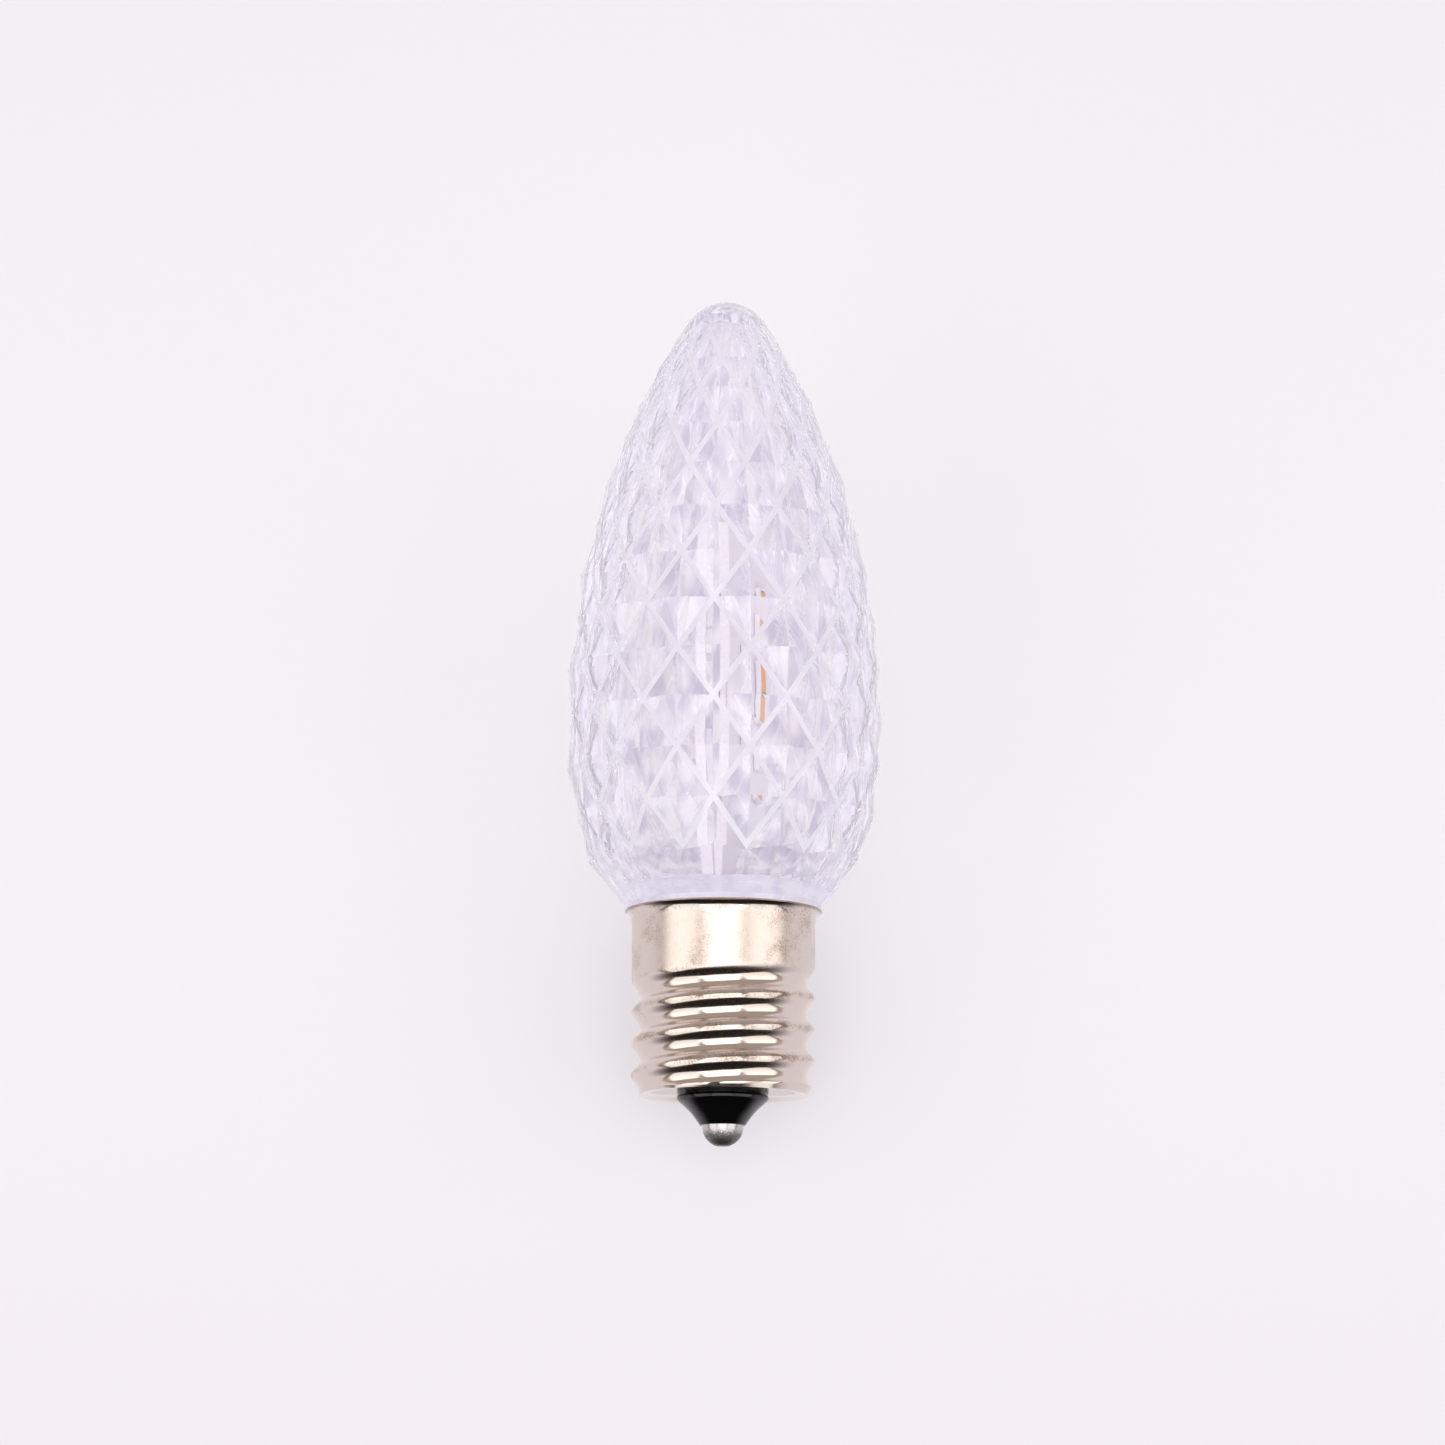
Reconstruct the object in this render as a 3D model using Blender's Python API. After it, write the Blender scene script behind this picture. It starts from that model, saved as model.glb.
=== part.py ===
"""Christmas light bulb: a clear faceted lens on an intermediate screw base, with its LED board inside.

The bulb stands on its centre contact, which touches the origin. +Z runs up the axis to the tip of the lens,
and -Y is the front. All sizes are in metres.
"""

import math

import bmesh
import bpy
from mathutils import Vector

# Clearances between neighbouring pieces
SEAT_GAP = 0.0003
LEAD_CLEARANCE = 0.00025
SOLDER_FILM = 0.0001

# Centre contact, a drop of solder under the brass eyelet
CONTACT_HEIGHT = 0.0015
CONTACT_RADIUS = 0.0019
CONTACT_FLAT_RADIUS = 0.0006

# Insulator, a black cone with a disc inside the shell
CONE_HEIGHT = 0.0024
CONE_END_LIP = 0.00013
CONE_LEDGE = 0.00045
CONE_RIM_EDGE = 0.0002
CONE_HOLLOW = 0.00018
DISC_CLEARANCE = 0.00075
DISC_THICKNESS = 0.0020

# Brass eyelet in the insulator's bore
EYELET_WALL = 0.0002
EYELET_FLANGE_RADIUS = 0.0013
EYELET_FLANGE_THICKNESS = 0.0003

# Screw shell, pressed from thin sheet: flared rim, plain band, rolled thread and a turned-in end
SHELL_WALL = 0.0003
SHELL_HEIGHT = 0.0168
BAND_RADIUS = 0.00825
RIM_FLARE = 0.00062
FLARE_HEIGHT = 0.00065
END_STEP = 0.00067
END_TAPER = 0.6
END_HOLE_RADIUS = 0.0037
THREADS_PER_INCH = 9
THREAD_PITCH = 0.0254 / THREADS_PER_INCH
THREAD_DEPTH = 0.0007
THREAD_SHARPNESS = 1.15
THREAD_START_DROP = 0.0066
THREAD_RUN_OUT_END = 1.1 * math.pi
THREAD_RUN_OUT = 0.7 * math.pi

# Lens, moulded in one piece: neck, bowl, flank and rounded nose
LENS_LENGTH = 0.0559
SHOULDER_OVERHANG = 0.00008
SHOULDER_RISE = math.radians(28.5)
SHOULDER_HANDLE = 0.0060
BELLY_RADIUS = 0.01438
BELLY_RISE = 0.0159
BOWL_HANDLE = 0.0015
FLANK_HANDLE = 0.0172
NOSE_RADIUS = 0.0034
NOSE_SLOPE = math.radians(34.7)
NOSE_HANDLE = 0.0099
NECK_LENGTH = 0.0046
NECK_WALL = 0.0010
LENS_WALL = 0.0019
TIP_WALL = 0.0030
CAVITY_TIP_RADIUS = 0.0008

# Diamond pattern of the lens: staggered rows of pyramids with rounded grooves between them
DIAMONDS_AROUND = 13
PATTERN_TURN = math.radians(-94.2)
FIRST_ROW = 0.00514
ROW_STEP = 0.00446
ROW_SHRINK = 1.035
LAST_ROW_ROOM = 0.0005
GROOVE_DEPTH = 0.00068
GROOVE_WIDTH = 0.00042

# Circuit board that stands on the axis, its parts and its leads
BOARD_TURN = math.radians(-10)
BOARD_THICKNESS = 0.0012
BOARD_LENGTH = 0.0474
BOARD_FOOT_GAP = 0.0020
BOARD_CORNER = 0.0015
LED_LENGTH = 0.0035
LED_WIDTH = 0.0028
LED_HEIGHT = 0.0008
LED_LIP = 0.0003
LED_RECESS = 0.0005
PHOSPHOR_THICKNESS = 0.0003
FIRST_LED_RISE = 0.0254
LED_STEP = 0.00325
LED_COUNT = 5
RECTIFIER_THICKNESS = 0.0014
RECTIFIER_WIDTH = 0.0038
RECTIFIER_LENGTH = 0.0047
RECTIFIER_RISE = 0.0074
LEG_REACH = 0.0010
LEG_SPACING = 0.0025
LEG_WIDTH = 0.0006
LEG_THICKNESS = 0.0002
RESISTOR_THICKNESS = 0.0006
RESISTOR_LENGTH = 0.0032
RESISTOR_WIDTH = 0.0016
RESISTOR_CAP_LENGTH = 0.0005
RESISTOR_CAP_PROUD = 0.00005
FIRST_RESISTOR_RISE = 0.0060
RESISTOR_STEP = 0.0032
RESISTOR_COUNT = 2
LEAD_RADIUS = 0.0002
JOINT_RADIUS = 0.0009
JOINT_HEIGHT = 0.0006
JOINT_INSET = 0.0023
JOINT_RISE = 0.0022

# How finely round surfaces are cut, where shading breaks and how near points are joined
SHELL_COLUMNS = 40
THREAD_ROWS_PER_PITCH = 6
FLARE_STEPS = 4
TURN_STEPS = 40
SMALL_TURN_STEPS = 12
CONTACT_STEPS = 8
NOSE_STEPS = 5
JOINT_STEPS = 4
CURVE_STEPS = 60
LEAD_BEND_STEPS = 8
LEAD_ROUND_STEPS = 2
CAVITY_ROWS = 11
CAVITY_STEPS = 4 * DIAMONDS_AROUND
TURN_CREASE = math.radians(30)
SHELL_CREASE = math.radians(50)
WELD = 1e-7

# Radii that follow from the sizes above
CONE_END_RADIUS = CONTACT_RADIUS + CONE_END_LIP
CONE_RIM_RADIUS = END_HOLE_RADIUS + CONE_LEDGE
THREAD_ROOT_BORE = BAND_RADIUS - THREAD_DEPTH - SHELL_WALL
DISC_RADIUS = THREAD_ROOT_BORE - DISC_CLEARANCE
RIM_RADIUS = BAND_RADIUS + RIM_FLARE
END_RADIUS = BAND_RADIUS - END_STEP
SHOULDER_RADIUS = RIM_RADIUS + SHOULDER_OVERHANG
NOSE_CURVE = NOSE_RADIUS / math.cos(NOSE_SLOPE)
NOSE_HEIGHT = NOSE_CURVE * (1 - math.sin(NOSE_SLOPE))

# Heights and fits that follow from the sizes above
CONE_END = CONTACT_HEIGHT + SEAT_GAP
CONE_RIM = CONE_END + CONE_HEIGHT
SHELL_BOTTOM = CONE_RIM + SEAT_GAP
SHELL_TOP = SHELL_BOTTOM + SHELL_HEIGHT
DISC_BOTTOM = SHELL_BOTTOM + SHELL_WALL + SEAT_GAP
DISC_TOP = DISC_BOTTOM + DISC_THICKNESS
LENS_SEAT = SHELL_TOP + SEAT_GAP
LENS_TIP = LENS_SEAT + LENS_LENGTH
NECK_RADIUS = BAND_RADIUS - SHELL_WALL - SEAT_GAP
NECK_BORE = NECK_RADIUS - NECK_WALL
NECK_END = LENS_SEAT - NECK_LENGTH
CAVITY_THROAT = LENS_SEAT + LENS_WALL
CAVITY_TOP = LENS_TIP - TIP_WALL
BOARD_FOOT = DISC_TOP + BOARD_FOOT_GAP
BOARD_TOP = BOARD_FOOT + BOARD_LENGTH
JOINT_LEVEL = BOARD_FOOT + JOINT_RISE
BOARD_FACE = BOARD_THICKNESS / 2
BOARD_WIDTH = 2 * (math.sqrt(NECK_BORE**2 - BOARD_FACE**2) - SEAT_GAP)
JOINT_OFFSET = BOARD_WIDTH / 2 - JOINT_INSET
EYELET_BORE = LEAD_RADIUS + LEAD_CLEARANCE
EYELET_RADIUS = EYELET_BORE + EYELET_WALL
INSULATOR_BORE = EYELET_RADIUS + SEAT_GAP
LEAD_LIFT = BOARD_FACE + SOLDER_FILM + LEAD_RADIUS


def clear_scene():
    """Removes whatever the scene holds."""
    for obj in list(bpy.data.objects):
        bpy.data.objects.remove(obj, do_unlink=True)


def make_material(name, colour, roughness, metallic=0.0, transmission=0.0, ior=1.5):
    """A Principled material from a linear colour and its surface values."""
    material = bpy.data.materials.new(name)
    material.use_nodes = True
    shader = material.node_tree.nodes["Principled BSDF"]
    shader.inputs["Base Color"].default_value = (*colour, 1.0)
    shader.inputs["Roughness"].default_value = roughness
    shader.inputs["Metallic"].default_value = metallic
    shader.inputs["Transmission Weight"].default_value = transmission
    shader.inputs["IOR"].default_value = ior
    material.diffuse_color = (*colour, 1.0)
    return material


def add_object(name, bm, material, crease=None, parent=None, closed=True):
    """Turns a bmesh into a named object in the scene, shaded smooth where it bends less than the crease."""
    if closed:
        bmesh.ops.recalc_face_normals(bm, faces=bm.faces[:])
    mesh = bpy.data.meshes.new(name)
    bm.to_mesh(mesh)
    bm.free()
    mesh.materials.append(material)
    if crease is not None:
        mesh.shade_smooth()
        mesh.set_sharp_from_angle(angle=crease)
    obj = bpy.data.objects.new(name, mesh)
    bpy.context.scene.collection.objects.link(obj)
    obj.parent = parent
    return obj


def polar(radius, angle, height):
    """A point at a radius and an angle round the axis."""
    return Vector((radius * math.cos(angle), radius * math.sin(angle), height))


def add_ring(bm, radii, heights, first_angle=0.0):
    """A closed ring of vertices, with a radius and a height for each column."""
    count = len(radii)
    angles = [first_angle + math.tau * column / count for column in range(count)]
    return [bm.verts.new(polar(r, a, z)) for r, a, z in zip(radii, angles, heights)]


def add_round_ring(bm, radius, height, count, first_angle=0.0):
    """A ring of vertices at one radius and one height."""
    return add_ring(bm, [radius] * count, [height] * count, first_angle)


def skin(bm, lower, upper):
    """Quads between two rings of the same count, facing away from the axis."""
    count = len(lower)
    for i in range(count):
        j = (i + 1) % count
        bm.faces.new((lower[i], lower[j], upper[j], upper[i]))


def bezier(start, start_handle, end_handle, end, steps):
    """Points of a cubic curve from start to end, given as radius and height."""
    points = []
    for step in range(steps + 1):
        t = step / steps
        weights = ((1 - t) ** 3, 3 * (1 - t) ** 2 * t, 3 * (1 - t) * t**2, t**3)
        corners = (start, start_handle, end_handle, end)
        points.append(tuple(sum(w * c[axis] for w, c in zip(weights, corners)) for axis in (0, 1)))
    return points


def turned(name, profile, material, closed, steps=TURN_STEPS, parent=None):
    """A solid of revolution. A closed profile stands clear of the axis, an open one starts and ends on it."""
    bm = bmesh.new()
    verts = [bm.verts.new((radius, 0.0, height)) for radius, height in profile]
    edges = [bm.edges.new(pair) for pair in zip(verts, verts[1:])]
    if closed:
        edges.append(bm.edges.new((verts[-1], verts[0])))
    bmesh.ops.spin(bm, geom=verts + edges, axis=(0, 0, 1), cent=(0, 0, 0), angle=math.tau,
                   steps=steps, use_merge=True)
    bmesh.ops.remove_doubles(bm, verts=bm.verts[:], dist=WELD)
    return add_object(name, bm, material, TURN_CREASE, parent)


def prism(outline, sweep):
    """A closed bmesh, swept from a flat outline along a vector."""
    bm = bmesh.new()
    face = bm.faces.new([bm.verts.new(point) for point in outline])
    swept = bmesh.ops.extrude_face_region(bm, geom=[face])
    moved = [item for item in swept["geom"] if isinstance(item, bmesh.types.BMVert)]
    bmesh.ops.translate(bm, vec=sweep, verts=moved)
    return bm


# Lens


def lens_outline():
    """Outer outline of the lens from the shoulder to the nose, as (radius, height) points."""
    shoulder = (SHOULDER_RADIUS, LENS_SEAT)
    shoulder_handle = (
        SHOULDER_RADIUS + SHOULDER_HANDLE * math.cos(SHOULDER_RISE),
        LENS_SEAT + SHOULDER_HANDLE * math.sin(SHOULDER_RISE),
    )
    belly = (BELLY_RADIUS, LENS_SEAT + BELLY_RISE)
    nose = (NOSE_RADIUS, LENS_TIP - NOSE_HEIGHT)
    nose_handle = (
        NOSE_RADIUS + NOSE_HANDLE * math.sin(NOSE_SLOPE),
        nose[1] - NOSE_HANDLE * math.cos(NOSE_SLOPE),
    )
    bowl = bezier(shoulder, shoulder_handle, (BELLY_RADIUS, belly[1] - BOWL_HANDLE), belly, CURVE_STEPS)
    flank = bezier(belly, (BELLY_RADIUS, belly[1] + FLANK_HANDLE), nose_handle, nose, CURVE_STEPS)
    return bowl + flank[1:]


def lattice_levels(outline):
    """The rows of the diamond pattern, from the shoulder to the nose, as (radius, height).

    The rows are a step apart along the outline, and the step shrinks where the lens gets thinner.
    """
    levels = [outline[0]]
    wanted = FIRST_ROW
    walked = 0.0
    for (r0, z0), (r1, z1) in zip(outline, outline[1:]):
        stretch = math.hypot(r1 - r0, z1 - z0)
        if walked + stretch >= wanted:
            share = (wanted - walked) / stretch
            radius = r0 + share * (r1 - r0)
            levels.append((radius, z0 + share * (z1 - z0)))
            wanted += ROW_STEP * (1 - ROW_SHRINK * (1 - radius / BELLY_RADIUS) ** 2)
        walked += stretch
    nose = outline[-1]
    if nose[1] - levels[-1][1] < LAST_ROW_ROOM:
        levels.pop()
    return levels + [nose]


def lattice_ring(bm, level, row, relief):
    """One row of the pattern: groove crossings and pyramid tips take turns round the ring."""
    radius, height = level
    sunk = radius - relief * GROOVE_DEPTH * radius / BELLY_RADIUS
    count = 2 * DIAMONDS_AROUND
    radii = [sunk if (column + row) % 2 == 0 else radius for column in range(count)]
    return add_ring(bm, radii, [height] * count, PATTERN_TURN)


def skin_lattice(bm, lower, upper, row):
    """Triangles between two rows, split along the grooves. Returns the groove edges."""
    count = len(lower)
    grooves = []
    for i in range(count):
        j = (i + 1) % count
        if (i + row) % 2 == 0:
            bm.faces.new((lower[i], lower[j], upper[j]))
            bm.faces.new((lower[i], upper[j], upper[i]))
            grooves.append(bm.edges.get((lower[i], upper[j])))
        else:
            bm.faces.new((lower[i], lower[j], upper[i]))
            bm.faces.new((lower[j], upper[j], upper[i]))
            grooves.append(bm.edges.get((lower[j], upper[i])))
    return grooves


def add_nose(bm, ring):
    """Closes the nose with a dome that carries on the slope of the flank."""
    for step in range(1, NOSE_STEPS):
        angle = NOSE_SLOPE + (math.pi / 2 - NOSE_SLOPE) * step / NOSE_STEPS
        height = LENS_TIP - NOSE_CURVE * (1 - math.sin(angle))
        upper = add_round_ring(bm, NOSE_CURVE * math.cos(angle), height, len(ring), PATTERN_TURN)
        skin(bm, ring, upper)
        ring = upper
    tip = bm.verts.new((0.0, 0.0, LENS_TIP))
    for i, vert in enumerate(ring):
        bm.faces.new((vert, ring[(i + 1) % len(ring)], tip))


def add_neck(bm, shoulder_ring):
    """The neck that goes down into the shell, closed at its end."""
    count = len(shoulder_ring)
    top = add_round_ring(bm, NECK_RADIUS, LENS_SEAT, count, PATTERN_TURN)
    end = add_round_ring(bm, NECK_RADIUS, NECK_END, count, PATTERN_TURN)
    skin(bm, top, shoulder_ring)
    skin(bm, end, top)
    bm.faces.new(end[::-1])


def lens_body():
    """The outside of the lens as one closed bmesh, with its grooves rounded."""
    bm = bmesh.new()
    levels = lattice_levels(lens_outline())
    last = len(levels) - 1
    rings = []
    for row, level in enumerate(levels):
        relief = 0.0 if row in (0, last) else 1.0
        rings.append(lattice_ring(bm, level, row, relief))
    grooves = []
    for row in range(last):
        found = skin_lattice(bm, rings[row], rings[row + 1], row)
        if 0 < row < last - 1:
            grooves += found
    add_neck(bm, rings[0])
    add_nose(bm, rings[-1])
    bmesh.ops.recalc_face_normals(bm, faces=bm.faces[:])
    bmesh.ops.bevel(bm, geom=grooves, offset=GROOVE_WIDTH / 2, offset_type="OFFSET", segments=1,
                    profile=0.5, affect="EDGES", material=-1, clamp_overlap=True)
    bmesh.ops.triangulate(bm, faces=bm.faces[:])
    return bm


def cavity_outline():
    """Outline of the hollow inside the lens, a wall's thickness in from the outside.

    It starts where the bowl gets wider than the neck's bore, and ends near the axis under the nose.
    """
    outline = lens_outline()
    inner = []
    for (r0, z0), (r1, z1) in zip(outline, outline[1:]):
        along = math.hypot(r1 - r0, z1 - z0)
        radius = (r0 + r1) / 2 - LENS_WALL * (z1 - z0) / along
        height = (z0 + z1) / 2 + LENS_WALL * (r1 - r0) / along
        in_bowl = radius > NECK_BORE and height > CAVITY_THROAT
        in_nose = z0 > LENS_SEAT + BELLY_RISE and radius > CAVITY_TIP_RADIUS and height < CAVITY_TOP
        if in_bowl or in_nose:
            inner.append((radius, height))
    return [inner[round(row * (len(inner) - 1) / (CAVITY_ROWS - 1))] for row in range(CAVITY_ROWS)]


def add_cavity_cutter():
    """The round hollow of the lens as a closed cutter, from below the neck to under the nose."""
    bm = bmesh.new()
    mouth = (NECK_BORE, NECK_END - LENS_WALL)
    throat = (NECK_BORE, CAVITY_THROAT)
    profile = [mouth, throat] + cavity_outline()
    rings = [add_round_ring(bm, radius, height, CAVITY_STEPS, PATTERN_TURN) for radius, height in profile]
    for lower, upper in zip(rings, rings[1:]):
        skin(bm, lower, upper)
    bm.faces.new(rings[0][::-1])
    top = bm.verts.new((0.0, 0.0, CAVITY_TOP))
    for i, vert in enumerate(rings[-1]):
        bm.faces.new((vert, rings[-1][(i + 1) % CAVITY_STEPS], top))
    cutter = add_object("lens_cavity_cutter", bm, bpy.data.materials["clear_polycarbonate"])
    cutter.hide_render = True
    cutter.display_type = "WIRE"
    return cutter


def make_lens(material):
    """The faceted lens, hollowed by its cavity."""
    lens = add_object("lens", lens_body(), material)
    hollow = lens.modifiers.new("hollow", "BOOLEAN")
    hollow.operation = "DIFFERENCE"
    hollow.object = add_cavity_cutter()
    return lens


# Screw shell


def smooth_share(value):
    """0 below nought, 1 above one and a smooth rise between."""
    value = max(0.0, min(1.0, value))
    return value * value * (3 - 2 * value)


def thread_radius(angle, height):
    """Outer radius of the rolled right-hand thread at an angle round the axis and a height.

    The groove's centre line climbs one pitch in each turn. It starts in the plain band, where its depth grows
    from nothing over the run-out, and it runs down to the turned-in end.
    """
    start = SHELL_TOP - THREAD_START_DROP
    turns = (height - start) / THREAD_PITCH - angle / math.tau
    strand = round(turns)
    swept = angle + math.tau * strand
    depth = THREAD_DEPTH * smooth_share((THREAD_RUN_OUT_END - swept) / THREAD_RUN_OUT)
    ridge = (0.5 - 0.5 * math.cos(math.tau * (turns - strand))) ** THREAD_SHARPNESS
    taper = END_RADIUS + END_TAPER * (height - SHELL_BOTTOM)
    return min(BAND_RADIUS - depth * (1 - ridge), taper)


def shell_rows():
    """Rows of the shell's outside from the rim down to the end hole, each as (radii, height)."""
    angles = [math.tau * column / SHELL_COLUMNS - math.pi for column in range(SHELL_COLUMNS)]
    rows = []
    rim_underside = SHELL_TOP - SHELL_WALL
    for step in range(FLARE_STEPS + 1):
        lean = math.pi / 2 * (1 - step / FLARE_STEPS)
        radius = BAND_RADIUS + (RIM_RADIUS - BAND_RADIUS) * (1 - math.cos(lean))
        rows.append(([radius] * SHELL_COLUMNS, rim_underside - FLARE_HEIGHT * (1 - math.sin(lean))))
    thread_top = SHELL_TOP - THREAD_START_DROP + THREAD_PITCH
    row_count = round((thread_top - SHELL_BOTTOM) / THREAD_PITCH * THREAD_ROWS_PER_PITCH)
    for row in range(row_count + 1):
        height = thread_top + (SHELL_BOTTOM - thread_top) * row / row_count
        rows.append(([thread_radius(angle, height) for angle in angles], height))
    rows.append(([END_HOLE_RADIUS] * SHELL_COLUMNS, SHELL_BOTTOM))
    return rows


def make_screw_shell(material):
    """The thin shell: its outside as one skin, thickened inwards."""
    bm = bmesh.new()
    rings = [add_ring(bm, radii, [height] * SHELL_COLUMNS, -math.pi) for radii, height in shell_rows()]
    for upper, lower in zip(rings, rings[1:]):
        skin(bm, lower, upper)
    shell = add_object("screw_shell", bm, material, SHELL_CREASE, closed=False)
    wall = shell.modifiers.new("wall", "SOLIDIFY")
    wall.thickness = SHELL_WALL
    wall.offset = -1.0
    wall.use_even_offset = True


# Insulator and contact


def make_insulator(material):
    """Black cone with a rounded rim, a collar through the end hole and a disc inside the shell."""
    collar = END_HOLE_RADIUS - SEAT_GAP
    counterbore = EYELET_FLANGE_RADIUS + SEAT_GAP
    counterbore_top = CONE_END + EYELET_FLANGE_THICKNESS + SEAT_GAP
    waist = (
        (CONE_END_RADIUS + CONE_RIM_RADIUS) / 2 - CONE_HOLLOW,
        CONE_END + (CONE_HEIGHT - CONE_RIM_EDGE) / 2 + CONE_HOLLOW,
    )
    profile = [
        (counterbore, CONE_END),
        (CONE_END_RADIUS, CONE_END),
        waist,
        (CONE_RIM_RADIUS, CONE_RIM - CONE_RIM_EDGE),
        (CONE_RIM_RADIUS - CONE_RIM_EDGE, CONE_RIM),
        (collar, CONE_RIM),
        (collar, DISC_BOTTOM),
        (DISC_RADIUS, DISC_BOTTOM),
        (DISC_RADIUS, DISC_TOP),
        (INSULATOR_BORE, DISC_TOP),
        (INSULATOR_BORE, counterbore_top),
        (counterbore, counterbore_top),
    ]
    return turned("insulator", profile, material, closed=True)


def make_contact(material):
    """Drop of solder: a half ellipse with a small flat where the socket's spring presses."""
    lowest = math.asin(CONTACT_FLAT_RADIUS / CONTACT_RADIUS)
    depth = CONTACT_HEIGHT / math.cos(lowest)
    profile = [(0.0, 0.0)]
    for step in range(CONTACT_STEPS + 1):
        angle = lowest + (math.pi / 2 - lowest) * step / CONTACT_STEPS
        profile.append((CONTACT_RADIUS * math.sin(angle), CONTACT_HEIGHT - depth * math.cos(angle)))
    profile.append((0.0, CONTACT_HEIGHT))
    return turned("centre_contact", profile, material, closed=False)


def make_eyelet(material):
    """Brass eyelet: a flange over the solder and a barrel up the insulator's bore."""
    flange_top = CONE_END + EYELET_FLANGE_THICKNESS
    profile = [
        (EYELET_BORE, CONE_END),
        (EYELET_FLANGE_RADIUS, CONE_END),
        (EYELET_FLANGE_RADIUS, flange_top),
        (EYELET_RADIUS, flange_top),
        (EYELET_RADIUS, DISC_TOP),
        (EYELET_BORE, DISC_TOP),
    ]
    return turned("contact_eyelet", profile, material, closed=True, steps=SMALL_TURN_STEPS)


# Circuit board and its parts. Local X is the board's normal, local Y runs across it


def add_box(bm, low, high):
    """An upright box between two corners."""
    made = bmesh.ops.create_cube(bm, size=1.0)
    size = Vector(high) - Vector(low)
    bmesh.ops.scale(bm, vec=size, verts=made["verts"])
    bmesh.ops.translate(bm, vec=(Vector(low) + Vector(high)) / 2, verts=made["verts"])


def make_board(material, frame):
    """A strip that fits the neck's bore, with its two upper corners cut."""
    bm = bmesh.new()
    half = BOARD_WIDTH / 2
    add_box(bm, (-BOARD_FACE, -half, BOARD_FOOT), (BOARD_FACE, half, BOARD_TOP))
    corners = [
        edge for edge in bm.edges
        if all(vert.co.z > BOARD_TOP - BOARD_CORNER for vert in edge.verts)
        and abs(edge.verts[0].co.x - edge.verts[1].co.x) > BOARD_FACE
    ]
    bmesh.ops.bevel(bm, geom=corners, offset=BOARD_CORNER, segments=1, profile=0.5, affect="EDGES",
                    material=-1)
    return add_object("circuit_board", bm, material, parent=frame)


def led_places():
    """Each LED's side of the board, 1 or -1, and its height. The sides take turns, the first has one more."""
    first = BOARD_FOOT + FIRST_LED_RISE
    return [(1 if index % 2 == 0 else -1, first + LED_STEP * index) for index in range(LED_COUNT)]


def place_on_board(obj, side, height):
    """Sets a part down on the middle of one face of the board, its own X pointing away from the face."""
    obj.location = (side * (BOARD_FACE + SOLDER_FILM), 0.0, height)
    obj.rotation_euler = (0.0, 0.0, 0.0 if side > 0 else math.pi)


def make_led_body(name, material, frame):
    """A white moulded tray with a recess for the phosphor."""
    bm = bmesh.new()
    add_box(bm, (0.0, -LED_WIDTH / 2, -LED_LENGTH / 2), (LED_HEIGHT, LED_WIDTH / 2, LED_LENGTH / 2))
    bm.normal_update()
    top = max(bm.faces, key=lambda face: face.normal.x)
    bmesh.ops.inset_individual(bm, faces=[top], thickness=LED_LIP)
    floor = bmesh.ops.extrude_discrete_faces(bm, faces=[top])["faces"][0]
    bmesh.ops.translate(bm, vec=(-LED_RECESS, 0.0, 0.0), verts=floor.verts[:])
    return add_object(name, bm, material, parent=frame)


def make_phosphor(name, material, frame):
    """The yellow phosphor that fills an LED's recess."""
    bm = bmesh.new()
    floor = LED_HEIGHT - LED_RECESS + SOLDER_FILM
    half_width = LED_WIDTH / 2 - LED_LIP - SOLDER_FILM
    half_length = LED_LENGTH / 2 - LED_LIP - SOLDER_FILM
    add_box(bm, (floor, -half_width, -half_length), (floor + PHOSPHOR_THICKNESS, half_width, half_length))
    return add_object(name, bm, material, parent=frame)


def make_leds(body_material, phosphor_material, frame):
    """Five LEDs, three on one face of the board and two on the other."""
    for number, (side, height) in enumerate(led_places(), start=1):
        body = make_led_body(f"led_body_{number}", body_material, frame)
        phosphor = make_phosphor(f"led_phosphor_{number}", phosphor_material, frame)
        place_on_board(body, side, height)
        place_on_board(phosphor, side, height)


def leg_strip(across):
    """A strip bent down to a foot at each end, which passes through the rectifier's block."""
    block_end = RECTIFIER_LENGTH / 2
    foot = block_end + LEG_REACH
    bend = block_end + LEG_REACH / 2
    middle = (RECTIFIER_THICKNESS - LEG_THICKNESS) / 2
    under = [(0.0, -foot), (0.0, -bend), (middle, -block_end), (middle, block_end), (0.0, bend), (0.0, foot)]
    over = [(x + LEG_THICKNESS, z) for x, z in reversed(under)]
    outline = [(x, across - LEG_WIDTH / 2, z) for x, z in under + over]
    return prism(outline, (0.0, LEG_WIDTH, 0.0))


def make_rectifier(material, frame):
    """Bridge rectifier: a moulded block joined to two leg strips."""
    bm = bmesh.new()
    low = (SOLDER_FILM, -RECTIFIER_WIDTH / 2, -RECTIFIER_LENGTH / 2)
    high = (RECTIFIER_THICKNESS, RECTIFIER_WIDTH / 2, RECTIFIER_LENGTH / 2)
    add_box(bm, low, high)
    rectifier = add_object("bridge_rectifier", bm, material, parent=frame)
    for side in (-1, 1):
        strip = add_object("leg_strip_helper", leg_strip(side * LEG_SPACING / 2), material, parent=frame)
        strip.hide_render = True
        strip.display_type = "WIRE"
        union = rectifier.modifiers.new("legs", "BOOLEAN")
        union.operation = "UNION"
        union.object = strip
        place_on_board(strip, -1, BOARD_FOOT + RECTIFIER_RISE)
    place_on_board(rectifier, -1, BOARD_FOOT + RECTIFIER_RISE)


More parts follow.
